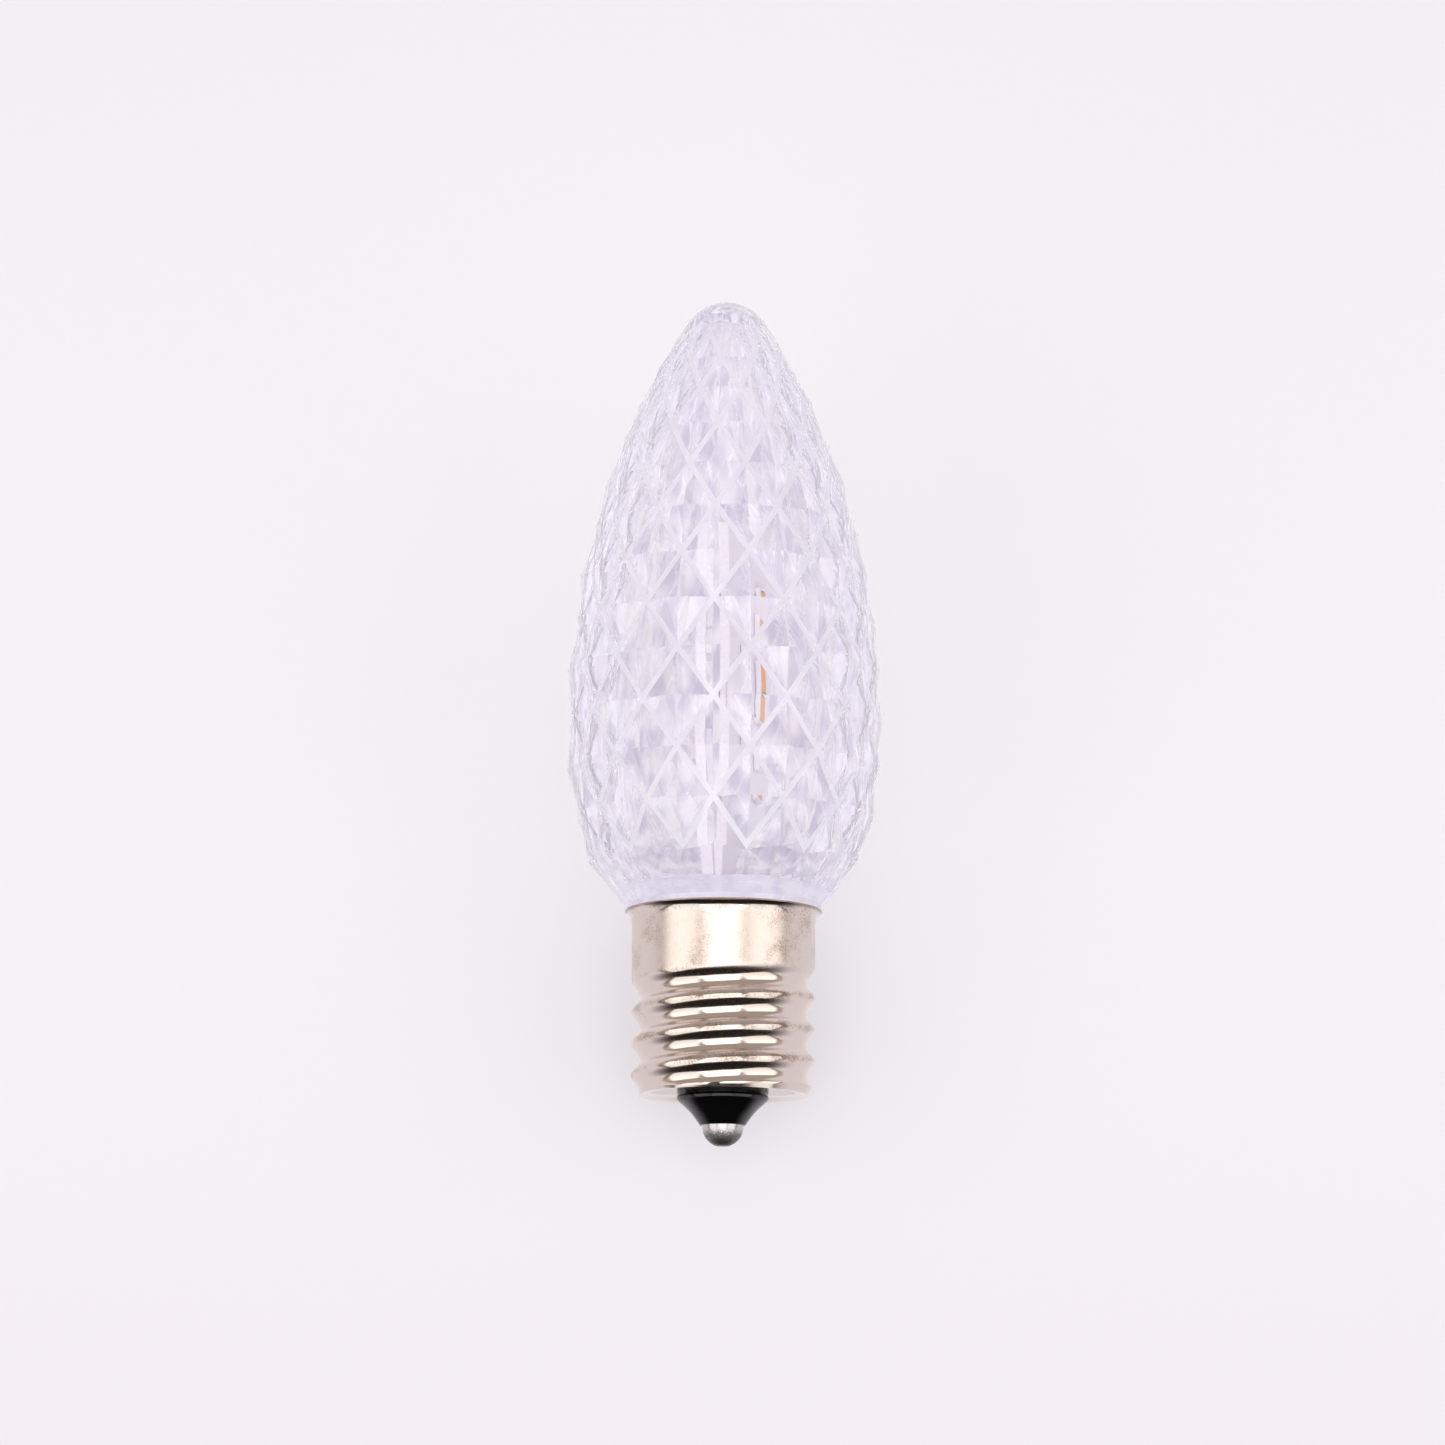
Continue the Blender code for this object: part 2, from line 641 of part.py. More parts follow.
def make_resistor(name, height, material, frame):
    """Chip resistor: a flat block whose plated ends stand slightly proud of its face."""
    end = RESISTOR_LENGTH / 2
    cap = end - RESISTOR_CAP_LENGTH
    face = RESISTOR_THICKNESS - RESISTOR_CAP_PROUD
    top = [(RESISTOR_THICKNESS, end), (RESISTOR_THICKNESS, cap), (face, cap),
           (face, -cap), (RESISTOR_THICKNESS, -cap), (RESISTOR_THICKNESS, -end)]
    outline = [(x, y, -RESISTOR_WIDTH / 2) for x, y in [(0.0, -end), (0.0, end)] + top]
    resistor = add_object(name, prism(outline, (0.0, 0.0, RESISTOR_WIDTH)), material, parent=frame)
    place_on_board(resistor, 1, height)


def make_joint(name, side, across, height, material, frame):
    """A small mound of solder on the board, turned round the board's normal."""
    profile = [(0.0, 0.0)]
    for step in range(JOINT_STEPS + 1):
        angle = math.pi / 2 * step / JOINT_STEPS
        profile.append((JOINT_RADIUS * math.cos(angle), JOINT_HEIGHT * math.sin(angle)))
    joint = turned(name, profile, material, closed=False, steps=SMALL_TURN_STEPS, parent=frame)
    joint.location = (side * (BOARD_FACE + SOLDER_FILM), across, height)
    joint.rotation_euler = (0.0, side * math.pi / 2, 0.0)


def make_lead(name, points, material, frame):
    """A round wire through the given points, with closed ends."""
    curve = bpy.data.curves.new(name, "CURVE")
    curve.dimensions = "3D"
    curve.bevel_depth = LEAD_RADIUS
    curve.bevel_resolution = LEAD_ROUND_STEPS
    curve.use_fill_caps = True
    spline = curve.splines.new("POLY")
    spline.points.add(len(points) - 1)
    for target, point in zip(spline.points, points):
        target.co = (*point, 1.0)
    curve.materials.append(material)
    lead = bpy.data.objects.new(name, curve)
    bpy.context.scene.collection.objects.link(lead)
    lead.parent = frame


def centre_lead_points():
    """From the solder drop up through the eyelet, then over to the back face of the board."""
    bend_start = (0.0, DISC_TOP)
    bend_end = (-LEAD_LIFT, BOARD_FOOT)
    reach = BOARD_FOOT_GAP / 2
    handles = ((0.0, DISC_TOP + reach), (-LEAD_LIFT, BOARD_FOOT - reach))
    bend = bezier(bend_start, *handles, bend_end, LEAD_BEND_STEPS)
    top = JOINT_LEVEL - JOINT_RADIUS - SEAT_GAP
    return [(0.0, 0.0, CONE_END)] + [(x, 0.0, z) for x, z in bend] + [(-LEAD_LIFT, 0.0, top)]


def shell_lead_points():
    """From under its joint on the front face of the board out to the wall of the shell."""
    start = (JOINT_OFFSET, JOINT_LEVEL - JOINT_RADIUS - SEAT_GAP)
    wall = THREAD_ROOT_BORE - SEAT_GAP
    end = (math.sqrt(wall**2 - (LEAD_LIFT + LEAD_RADIUS) ** 2), BOARD_FOOT)
    corner = (start[0], end[1])
    bend = bezier(start, corner, corner, end, LEAD_BEND_STEPS)
    return [(LEAD_LIFT, y, z) for y, z in bend]


def make_circuit(frame):
    """The board with everything soldered to it and its two leads."""
    white = make_material("white_board", (0.80, 0.80, 0.78), 0.4)
    tray = make_material("led_tray", (0.85, 0.85, 0.83), 0.4)
    yellow = make_material("phosphor", (0.80, 0.48, 0.14), 0.5)
    chip = make_material("chip_black", (0.02, 0.02, 0.02), 0.5)
    copper = make_material("tinned_copper", (0.70, 0.62, 0.55), 0.3, metallic=1.0)
    solder = bpy.data.materials["solder"]
    make_board(white, frame)
    make_leds(tray, yellow, frame)
    make_rectifier(chip, frame)
    for index in range(RESISTOR_COUNT):
        height = BOARD_FOOT + FIRST_RESISTOR_RISE + RESISTOR_STEP * index
        make_resistor(f"chip_resistor_{index + 1}", height, chip, frame)
    make_joint("centre_lead_joint", -1, 0.0, JOINT_LEVEL, solder, frame)
    make_joint("shell_lead_joint", 1, JOINT_OFFSET, JOINT_LEVEL, solder, frame)
    make_lead("centre_lead", centre_lead_points(), copper, frame)
    make_lead("shell_lead", shell_lead_points(), copper, frame)


def build():
    """Makes every piece of the bulb."""
    clear_scene()
    make_contact(make_material("solder", (0.60, 0.60, 0.62), 0.25, metallic=1.0))
    make_eyelet(make_material("brass", (0.72, 0.52, 0.24), 0.25, metallic=1.0))
    make_insulator(make_material("black_insulator", (0.010, 0.010, 0.012), 0.12))
    make_screw_shell(make_material("nickel_plate", (0.72, 0.67, 0.58), 0.18, metallic=1.0))
    make_lens(make_material("clear_polycarbonate", (0.86, 0.83, 0.92), 0.03, transmission=1.0, ior=1.58))
    frame = bpy.data.objects.new("board_frame", None)
    bpy.context.scene.collection.objects.link(frame)
    frame.rotation_euler = (0.0, 0.0, BOARD_TURN)
    make_circuit(frame)


build()
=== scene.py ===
"""Looks of the christmas light bulb: fine surfaces, finishes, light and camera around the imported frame.

The bulb stands upright on its centre contact at the origin, +Z runs up to the tip of the lens and -Y is the
front. All sizes are in metres unless a name says otherwise.
"""

import logging
import math
from dataclasses import dataclass, field
from enum import Enum

import bmesh
import bpy
from mathutils import Euler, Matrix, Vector


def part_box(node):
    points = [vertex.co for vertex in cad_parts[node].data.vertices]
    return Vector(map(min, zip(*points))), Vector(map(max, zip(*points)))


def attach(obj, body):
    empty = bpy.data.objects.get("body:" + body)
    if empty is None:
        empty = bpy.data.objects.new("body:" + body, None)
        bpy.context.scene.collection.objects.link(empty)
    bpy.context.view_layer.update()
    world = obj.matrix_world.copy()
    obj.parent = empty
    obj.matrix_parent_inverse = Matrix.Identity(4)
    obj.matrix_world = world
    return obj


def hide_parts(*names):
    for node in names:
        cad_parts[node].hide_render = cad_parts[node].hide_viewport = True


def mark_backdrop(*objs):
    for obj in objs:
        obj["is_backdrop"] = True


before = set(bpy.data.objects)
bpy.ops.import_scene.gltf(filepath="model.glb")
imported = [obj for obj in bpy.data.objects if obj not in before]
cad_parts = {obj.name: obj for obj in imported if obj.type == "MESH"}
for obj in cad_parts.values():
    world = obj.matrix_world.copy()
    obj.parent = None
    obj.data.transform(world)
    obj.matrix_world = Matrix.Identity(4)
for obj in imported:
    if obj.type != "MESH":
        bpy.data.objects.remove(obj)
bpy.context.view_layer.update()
LOG = logging.getLogger("bulb")
BODY = "root"
MM = 0.001
WELD = 1e-6
DOUBLES = 1e-7
# The shell's rim, where the foot of the lens rests, is this far below the rim of the CAD's shell
RIM_DROP = 0.15 * MM
# The bowl of the lens starts this far above the rim of the CAD's shell
SEAT_RISE = 0.3 * MM
# The insulator's cone from its end to its widest ring
CONE_HEIGHT = 2.4 * MM
# Light that has been bent more often than this has entered the lens, or passed its near wall
ENTERED = 0.5
NEAR_WALL_PASSED = 1.5
# The share of the light that the far wall of the lens lets straight on
FAR_WALL_STRAIGHT = 0.6
Outline = list[tuple[float, float]]
Span = tuple[float | bpy.types.NodeSocket, float | bpy.types.NodeSocket]
Colour = str | bpy.types.NodeSocket


class Slot(Enum):
    """The record's material slots, by name; the new pieces here do not use them."""

    LENS = "clear_plastic"
    SHELL = "nickel_shell"
    INSULATOR = "black_insulator"
    SOLDER = "solder"


def linear(colour: str) -> tuple[float, float, float, float]:
    """Turns an sRGB hex colour into linear values.

    Args:
        colour: Six hex digits.

    Returns:
        Red, green, blue and an alpha of 1.
    """
    shares = [int(colour[i:i + 2], 16) / 255 for i in (0, 2, 4)]
    red, green, blue = [s / 12.92 if s <= 0.04045 else ((s + 0.055) / 1.055) ** 2.4 for s in shares]
    return red, green, blue, 1.0


def add_node(tree: bpy.types.NodeTree, kind: str, inputs: dict | None = None,
             **settings: object) -> bpy.types.Node:
    """Adds a shader node, sets it up and links it.

    Args:
        tree: The node tree that gets the node.
        kind: The node's type without its ShaderNode prefix.
        inputs: A value or an output socket for each input, by its name or number.
        **settings: The node's own properties.

    Returns:
        The new node.
    """
    node = tree.nodes.new("ShaderNode" + kind)
    for name, value in settings.items():
        setattr(node, name, value)
    for name, value in (inputs or {}).items():
        if isinstance(value, bpy.types.NodeSocket):
            tree.links.new(value, node.inputs[name])
        else:
            node.inputs[name].default_value = value
    return node


def noise(tree: bpy.types.NodeTree, place: bpy.types.NodeSocket, size_mm: float,
          detail: float) -> bpy.types.NodeSocket:
    """Adds a noise pattern.

    Args:
        tree: The node tree.
        place: Where the pattern is looked up.
        size_mm: The size of its largest spots.
        detail: How many finer layers it has.

    Returns:
        Its value, about 0.5 in the mean.
    """
    texture = add_node(tree, "TexNoise", {"Vector": place, "Scale": 1 / (size_mm * MM), "Detail": detail})
    return texture.outputs[0]


def ramp(tree: bpy.types.NodeTree, value: bpy.types.NodeSocket, span: Span = (0.0, 1.0),
         to: Span = (0.0, 1.0), smooth: bool = False) -> bpy.types.NodeSocket:
    """Adds a ramp that is flat beyond both ends.

    Args:
        tree: The node tree.
        value: What the ramp runs over.
        span: Where it starts and ends.
        to: What it gives at its start and end, as numbers or sockets.
        smooth: Whether it eases in and out.

    Returns:
        The ramp's value.
    """
    ends = {"From Min": span[0], "From Max": span[1], "To Min": to[0], "To Max": to[1]}
    return add_node(tree, "MapRange", {"Value": value} | ends,
                    interpolation_type="SMOOTHSTEP" if smooth else "LINEAR").outputs[0]


def blend(tree: bpy.types.NodeTree, share: bpy.types.NodeSocket, first: Colour,
          second: Colour) -> bpy.types.NodeSocket:
    """Mixes two colours.

    Args:
        tree: The node tree.
        share: The share of the second colour.
        first: An sRGB hex colour or a socket.
        second: An sRGB hex colour or a socket.

    Returns:
        The mixed colour.
    """
    ends = [linear(end) if isinstance(end, str) else end for end in (first, second)]
    return add_node(tree, "Mix", {0: share, 6: ends[0], 7: ends[1]}, data_type="RGBA").outputs[2]


def calculate(tree: bpy.types.NodeTree, operation: str, first: object, second: object,
              clamped: bool = False) -> bpy.types.NodeSocket:
    """Adds a calculation with two numbers.

    Args:
        tree: The node tree.
        operation: The Math node's operation.
        first: A number or a socket.
        second: A number or a socket.
        clamped: Whether the result is held between 0 and 1.

    Returns:
        The result.
    """
    return add_node(tree, "Math", {0: first, 1: second}, operation=operation, use_clamp=clamped).outputs[0]


def bezier(corners: Outline, steps: int) -> Outline:
    """Samples a cubic curve.

    Args:
        corners: Start, two handles and end, as (radius, height).
        steps: Number of spans.

    Returns:
        The points of the curve, both ends included.
    """
    points = []
    for step in range(steps + 1):
        t = step / steps
        weights = ((1 - t) ** 3, 3 * (1 - t) ** 2 * t, 3 * (1 - t) * t**2, t**3)
        points.append(tuple(sum(w * corner[axis] for w, corner in zip(weights, corners)) for axis in (0, 1)))
    return points


def spin_outline(outline: Outline, steps: int, first_angle: float = 0.0) -> bmesh.types.BMesh:
    """Spins an outline a full turn round the axis.

    Args:
        outline: Points as (radius, height).
        steps: Number of columns.
        first_angle: Where the first column stands, in radians.

    Returns:
        A bmesh whose faces point out, with its doubles merged.
    """
    bm = bmesh.new()
    start = Euler((0.0, 0.0, first_angle)).to_matrix()
    verts = [bm.verts.new(start @ Vector((radius, 0.0, height))) for radius, height in outline]
    edges = [bm.edges.new(pair) for pair in zip(verts, verts[1:])]
    bmesh.ops.spin(bm, geom=verts + edges, axis=(0, 0, 1), cent=(0, 0, 0), angle=math.tau, steps=steps,
                   use_merge=True)
    bmesh.ops.remove_doubles(bm, verts=bm.verts[:], dist=DOUBLES)
    bmesh.ops.recalc_face_normals(bm, faces=bm.faces[:])
    outward = sum(face.normal.xy.dot(face.calc_center_median().xy) * face.calc_area() for face in bm.faces)
    if outward < 0:
        bmesh.ops.reverse_faces(bm, faces=bm.faces[:])
    return bm


def add_piece(name: str, bm: bmesh.types.BMesh, material: bpy.types.Material,
              crease_deg: float | None = None) -> bpy.types.Object:
    """Makes a piece of the bulb that rides on its body.

    Args:
        name: The piece's name.
        bm: Its shape, which is freed.
        material: Its finish.
        crease_deg: Edges that bend more than this are shaded sharp. Without it the shading stays as it is.

    Returns:
        The new object.
    """
    mesh = bpy.data.meshes.new(name)
    bm.to_mesh(mesh)
    bm.free()
    mesh.materials.append(material)
    if crease_deg is not None:
        mesh.shade_smooth()
        mesh.set_sharp_from_angle(angle=math.radians(crease_deg))
    piece = bpy.data.objects.new(name, mesh)
    bpy.context.scene.collection.objects.link(piece)
    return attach(piece, BODY)


def smooth_share(value: float) -> float:
    """Rises smoothly from 0 at nought to 1 at one.

    Args:
        value: Any number.

    Returns:
        A share from 0 to 1.
    """
    value = max(0.0, min(1.0, value))
    return value * value * (3 - 2 * value)


@dataclass(frozen=True)
class Finish:
    """A surface finish: what the material is and how its surface was made."""

    name: str = "finish"

    def make(self) -> bpy.types.Material:
        """Makes the material and dresses its Principled shader.

        Returns:
            The material.
        """
        material = bpy.data.materials.new(self.name)
        material.use_nodes = True
        self.dress(material.node_tree, material.node_tree.nodes["Principled BSDF"])
        return material

    def dress(self, tree: bpy.types.NodeTree, shader: bpy.types.Node) -> None:
        """Sets the shader's values and adds the pattern nodes.

        Args:
            tree: The material's node tree.
            shader: Its Principled shader.
        """
        raise NotImplementedError


def clear_far_wall(tree: bpy.types.NodeTree, shader: bpy.types.Node) -> None:
    """Lets part of the light go straight through the far wall of the lens, whose facets show only faintly.

    Args:
        tree: The material's node tree.
        shader: Its Principled shader.
    """
    bends = add_node(tree, "LightPath").outputs["Transmission Depth"]
    far = calculate(tree, "GREATER_THAN", bends, NEAR_WALL_PASSED)
    part = calculate(tree, "MULTIPLY", far, FAR_WALL_STRAIGHT)
    clear = add_node(tree, "BsdfTransparent").outputs[0]
    mix = add_node(tree, "MixShader", {0: part, 1: shader.outputs[0], 2: clear}).outputs[0]
    tree.links.new(mix, tree.nodes["Material Output"].inputs["Surface"])


@dataclass(frozen=True)
class MouldedPolycarbonate(Finish):
    """Clear injection-moulded polycarbonate: faint lavender, with painted shade that deepens it at the tip,
    and fine tool marks.
    """

    name: str = "clear_polycarbonate_moulded"
    tint: str = "F9F6F8"
    # Painted shade: the tip's darker tint stands in for the darker facets there
    tip_painted_shade_tint: str = "F2EFF3"
    tip_painted_shade_rise: tuple[float, float] = (0.054, 0.07)
    ior: float = 1.585
    roughness: float = 0.02
    mark_spacing_mm: float = 0.22
    mark_depth_mm: float = 0.006
    patch_mm: float = 5.0
    patch_edge: tuple[float, float] = (0.6, 0.66)

    def dress(self, tree: bpy.types.NodeTree, shader: bpy.types.Node) -> None:
        """Darkens the tip with painted shade and adds tool marks that show only on patches of the lens.

        Args:
            tree: The material's node tree.
            shader: Its Principled shader.
        """
        shader.inputs["IOR"].default_value = self.ior
        shader.inputs["Transmission Weight"].default_value = 1.0
        shader.inputs["Roughness"].default_value = self.roughness
        place = add_node(tree, "TexCoord").outputs["Object"]
        height = add_node(tree, "SeparateXYZ", {0: place}).outputs[2]
        # Painted shade: the tint darkens towards the tip
        tint = blend(tree, ramp(tree, height, self.tip_painted_shade_rise), self.tint, self.tip_painted_shade_tint)
        tree.links.new(tint, shader.inputs["Base Color"])
        wave = {"Vector": place, "Scale": 1 / (self.mark_spacing_mm * MM * math.tau), "Distortion": 3.0,
                "Detail": 1.0, "Detail Scale": 0.4}
        marks = add_node(tree, "TexWave", wave, bands_direction="DIAGONAL")
        patches = ramp(tree, noise(tree, place, self.patch_mm, 2.0), self.patch_edge)
        depth = calculate(tree, "MULTIPLY", marks.outputs["Fac"], patches)
        bump = add_node(tree, "Bump", {"Height": depth, "Strength": 1.0, "Distance": self.mark_depth_mm * MM})
        tree.links.new(bump.outputs[0], shader.inputs["Normal"])
        clear_far_wall(tree, shader)


@dataclass(frozen=True)
class FrostedGroove(Finish):
    """The same polycarbonate where the mould's grooves were left spark-eroded: milky and a little lighter."""

    name: str = "clear_polycarbonate_frosted_groove"
    tint: str = "F3F1F7"
    ior: float = 1.585
    roughness: float = 0.35
    clear_share: float = 0.72
    grain_mm: float = 0.15

    def dress(self, tree: bpy.types.NodeTree, shader: bpy.types.Node) -> None:
        """Sets a rough, partly milky surface with a fine grain.

        Args:
            tree: The material's node tree.
            shader: Its Principled shader.
        """
        shader.inputs["Base Color"].default_value = linear(self.tint)
        shader.inputs["IOR"].default_value = self.ior
        shader.inputs["Transmission Weight"].default_value = self.clear_share
        shader.inputs["Roughness"].default_value = self.roughness
        place = add_node(tree, "TexCoord").outputs["Object"]
        grain = noise(tree, place, self.grain_mm, 2.0)
        bump = add_node(tree, "Bump", {"Height": grain, "Strength": 0.3, "Distance": 0.01 * MM})
        tree.links.new(bump.outputs[0], shader.inputs["Normal"])
        clear_far_wall(tree, shader)


@dataclass(frozen=True)
class CoreSide(Finish):
    """The inside of the moulding, off a drawn core: upright streaks in its polish blur what shows through."""

    name: str = "clear_polycarbonate_core_side"
    tint: str = "F9F6F8"
    ior: float = 1.585
    polished: float = 0.02
    streaked: float = 0.12
    streak_mm: float = 1.2

    def dress(self, tree: bpy.types.NodeTree, shader: bpy.types.Node) -> None:
        """Adds the streaks.

        Args:
            tree: The material's node tree.
            shader: Its Principled shader.
        """
        shader.inputs["Base Color"].default_value = linear(self.tint)
        shader.inputs["IOR"].default_value = self.ior
        shader.inputs["Transmission Weight"].default_value = 1.0
        place = add_node(tree, "TexCoord").outputs["Object"]
        along = add_node(tree, "Mapping", {"Vector": place, "Scale": (1.0, 1.0, 0.05)}).outputs[0]
        streaks = noise(tree, along, self.streak_mm, 2.0)
        rough = ramp(tree, streaks, (0.35, 0.65), (self.polished, self.streaked))
        tree.links.new(rough, shader.inputs["Roughness"])
        clear_far_wall(tree, shader)


@dataclass(frozen=True)
class SeatAdhesiveWithPaintedGlow(Finish):
    """Milky adhesive film between the lens and the shell, seen through the foot of the lens, with a painted
    glow.
    """

    name: str = "milky_adhesive_film_painted_glow"
    body: str = "E6E1ED"
    thin: str = "D6D1E2"
    roughness: float = 0.5
    blot_mm: float = 1.6
    painted_glow: float = 0.66
    lit_share: float = 0.4

    def dress(self, tree: bpy.types.NodeTree, shader: bpy.types.Node) -> None:
        """Adds blots where the film is thinner, and a painted glow.

        Args:
            tree: The material's node tree.
            shader: Its Principled shader.
        """
        place = add_node(tree, "TexCoord").outputs["Object"]
        blots = ramp(tree, noise(tree, place, self.blot_mm, 2.0), (0.4, 0.65))
        colour = blend(tree, blots, self.body, self.thin)
        shader.inputs["Roughness"].default_value = self.roughness
        # Painted glow: the emission stands in for daylight that the clear wall pipes down to the film, more
        # than the path tracer brings there
        shader.inputs["Emission Strength"].default_value = self.painted_glow
        lit = add_node(tree, "VectorMath", {0: colour, "Scale": self.lit_share}, operation="SCALE")
        tree.links.new(colour, shader.inputs["Emission Color"])
        tree.links.new(lit.outputs[0], shader.inputs["Base Color"])


@dataclass(frozen=True)
class NickelPlate(Finish):
    """Bright nickel plate on pressed sheet: shiny thread, brushed band, brown specks on what stands proud."""

    name: str = "nickel_plate_pressed"
    metal: str = "DCCFC6"
    stain: str = "7A5A44"
    thread_roughness: float = 0.13
    band_roughness: float = 0.3
    band_bottom: tuple[float, float] = (0.0148, 0.0152)
    band_top: tuple[float, float] = (0.0201, 0.0204)
    crest_radius: tuple[float, float] = (0.008, 0.0083)
    crest_brown: tuple[float, float] = (0.2, 0.09)
    rim_radius: tuple[float, float] = (0.0086, 0.00875)
    rim_brown: float = 0.22
    line_mm: float = 0.05
    speck_mm: float = 0.16
    cloud_mm: float = 2.5
    stain_edge: tuple[float, float] = (0.35, 0.52)
    stain_share: float = 0.65

    def dress(self, tree: bpy.types.NodeTree, shader: bpy.types.Node) -> None:
        """Adds draw lines along the axis, a brushed band and more brown specks on the crests and the rim.

        Args:
            tree: The material's node tree.
            shader: Its Principled shader.
        """
        place = add_node(tree, "TexCoord").outputs["Object"]
        height = add_node(tree, "SeparateXYZ", {0: place}).outputs[2]
        flat = add_node(tree, "VectorMath", {0: place, 1: (1.0, 1.0, 0.0)}, operation="MULTIPLY").outputs[0]
        radius = add_node(tree, "VectorMath", {0: flat}, operation="LENGTH").outputs["Value"]
        along = add_node(tree, "Mapping", {"Vector": place, "Scale": (1.0, 1.0, 0.08)}).outputs[0]
        lines = noise(tree, along, self.line_mm, 2.0)
        band = ramp(tree, height, self.band_bottom)
        brushed = calculate(tree, "MULTIPLY", band, ramp(tree, height, self.band_top, (1.0, 0.0)))
        base = ramp(tree, brushed, to=(self.thread_roughness, self.band_roughness))
        rough = calculate(tree, "ADD", base, ramp(tree, lines, (0.3, 0.7), (-0.05, 0.07)))
        grit = {"Vector": place, "Scale": 1 / (self.speck_mm * MM), "Detail": 4.0, "Roughness": 0.65}
        specks = add_node(tree, "TexNoise", grit).outputs[0]
        amount = calculate(tree, "MULTIPLY", specks, noise(tree, place, self.cloud_mm, 2.0))
        crest = ramp(tree, radius, self.crest_radius, (0.0, ramp(tree, band, to=self.crest_brown)))
        proud = calculate(tree, "ADD", crest, ramp(tree, radius, self.rim_radius, (0.0, self.rim_brown)))
        specks_and_brown = calculate(tree, "ADD", amount, proud)
        stained = ramp(tree, specks_and_brown, self.stain_edge, (0.0, self.stain_share))
        bump = add_node(tree, "Bump", {"Height": lines, "Strength": 0.3, "Distance": 0.004 * MM})
        shader.inputs["Metallic"].default_value = 1.0
        tree.links.new(blend(tree, stained, self.metal, self.stain), shader.inputs["Base Color"])
        tree.links.new(rough, shader.inputs["Roughness"])
        tree.links.new(bump.outputs[0], shader.inputs["Normal"])


@dataclass(frozen=True)
class MouldedPhenolic(Finish):
    """Black moulded phenolic: deep gloss with a few fine scratches."""

    name: str = "black_phenolic_moulded"
    body: str = "070708"
    roughness: float = 0.05
    scratched: float = 0.35
    scratch_mm: float = 0.06

    def dress(self, tree: bpy.types.NodeTree, shader: bpy.types.Node) -> None:
        """Adds faint scratches round the cone.

        Args:
            tree: The material's node tree.
            shader: Its Principled shader.
        """
        shader.inputs["Base Color"].default_value = linear(self.body)
        place = add_node(tree, "TexCoord").outputs["Object"]
        turned = add_node(tree, "Mapping", {"Vector": place, "Rotation": (0.0, 0.5, 0.0),
                                            "Scale": (0.12, 0.12, 1.0)}).outputs[0]
        scratches = noise(tree, turned, self.scratch_mm, 3.0)
        rough = ramp(tree, scratches, (0.62, 0.8), (self.roughness, self.scratched))
        bump = add_node(tree, "Bump", {"Height": scratches, "Strength": 0.2, "Distance": 0.004 * MM})
        tree.links.new(rough, shader.inputs["Roughness"])
        tree.links.new(bump.outputs[0], shader.inputs["Normal"])


@dataclass(frozen=True)
class TinSolder(Finish):
    """Tin solder: bright where it froze smooth, grey and pitted where it has been rubbed."""

    name: str = "tin_solder_frozen"
    bright: str = "C0BCBC"
    dull: str = "787472"
    grain_mm: float = 0.16
    rubbed: tuple[float, float] = (0.0017, 0.0009)

    def dress(self, tree: bpy.types.NodeTree, shader: bpy.types.Node) -> None:
        """Adds pits and dull patches.

        Args:
            tree: The material's node tree.
            shader: Its Principled shader.
        """
        place = add_node(tree, "TexCoord").outputs["Object"]
        pits = noise(tree, place, self.grain_mm, 4.0)
        height = add_node(tree, "SeparateXYZ", {0: place}).outputs[2]
        dull = ramp(tree, calculate(tree, "MULTIPLY", ramp(tree, height, self.rubbed), pits), (0.2, 0.5))
        bump = add_node(tree, "Bump", {"Height": pits, "Strength": 0.6, "Distance": 0.03 * MM})
        shader.inputs["Metallic"].default_value = 1.0
        tree.links.new(blend(tree, dull, self.bright, self.dull), shader.inputs["Base Color"])
        tree.links.new(ramp(tree, dull, to=(0.12, 0.5)), shader.inputs["Roughness"])
        tree.links.new(bump.outputs[0], shader.inputs["Normal"])


@dataclass(frozen=True)
class PlainBody(Finish):
    """A body of one colour with a fine mottle: solder mask, moulded tray, phosphor, epoxy, brass or wire."""

    name: str = "plain_body"
    body: str = "E8E8E6"
    shade: str = "DCDCDA"
    roughness: float = 0.4
    metallic: float = 0.0
    grain_mm: float = 0.3

    def dress(self, tree: bpy.types.NodeTree, shader: bpy.types.Node) -> None:
        """Adds a fine mottle to colour and height.

        Args:
            tree: The material's node tree.
            shader: Its Principled shader.
        """
        place = add_node(tree, "TexCoord").outputs["Object"]
        grain = noise(tree, place, self.grain_mm, 3.0)
        colour = blend(tree, ramp(tree, grain, (0.35, 0.65)), self.body, self.shade)
        bump = add_node(tree, "Bump", {"Height": grain, "Strength": 0.2, "Distance": 0.01 * MM})
        shader.inputs["Roughness"].default_value = self.roughness
        shader.inputs["Metallic"].default_value = self.metallic
        tree.links.new(colour, shader.inputs["Base Color"])
        tree.links.new(bump.outputs[0], shader.inputs["Normal"])


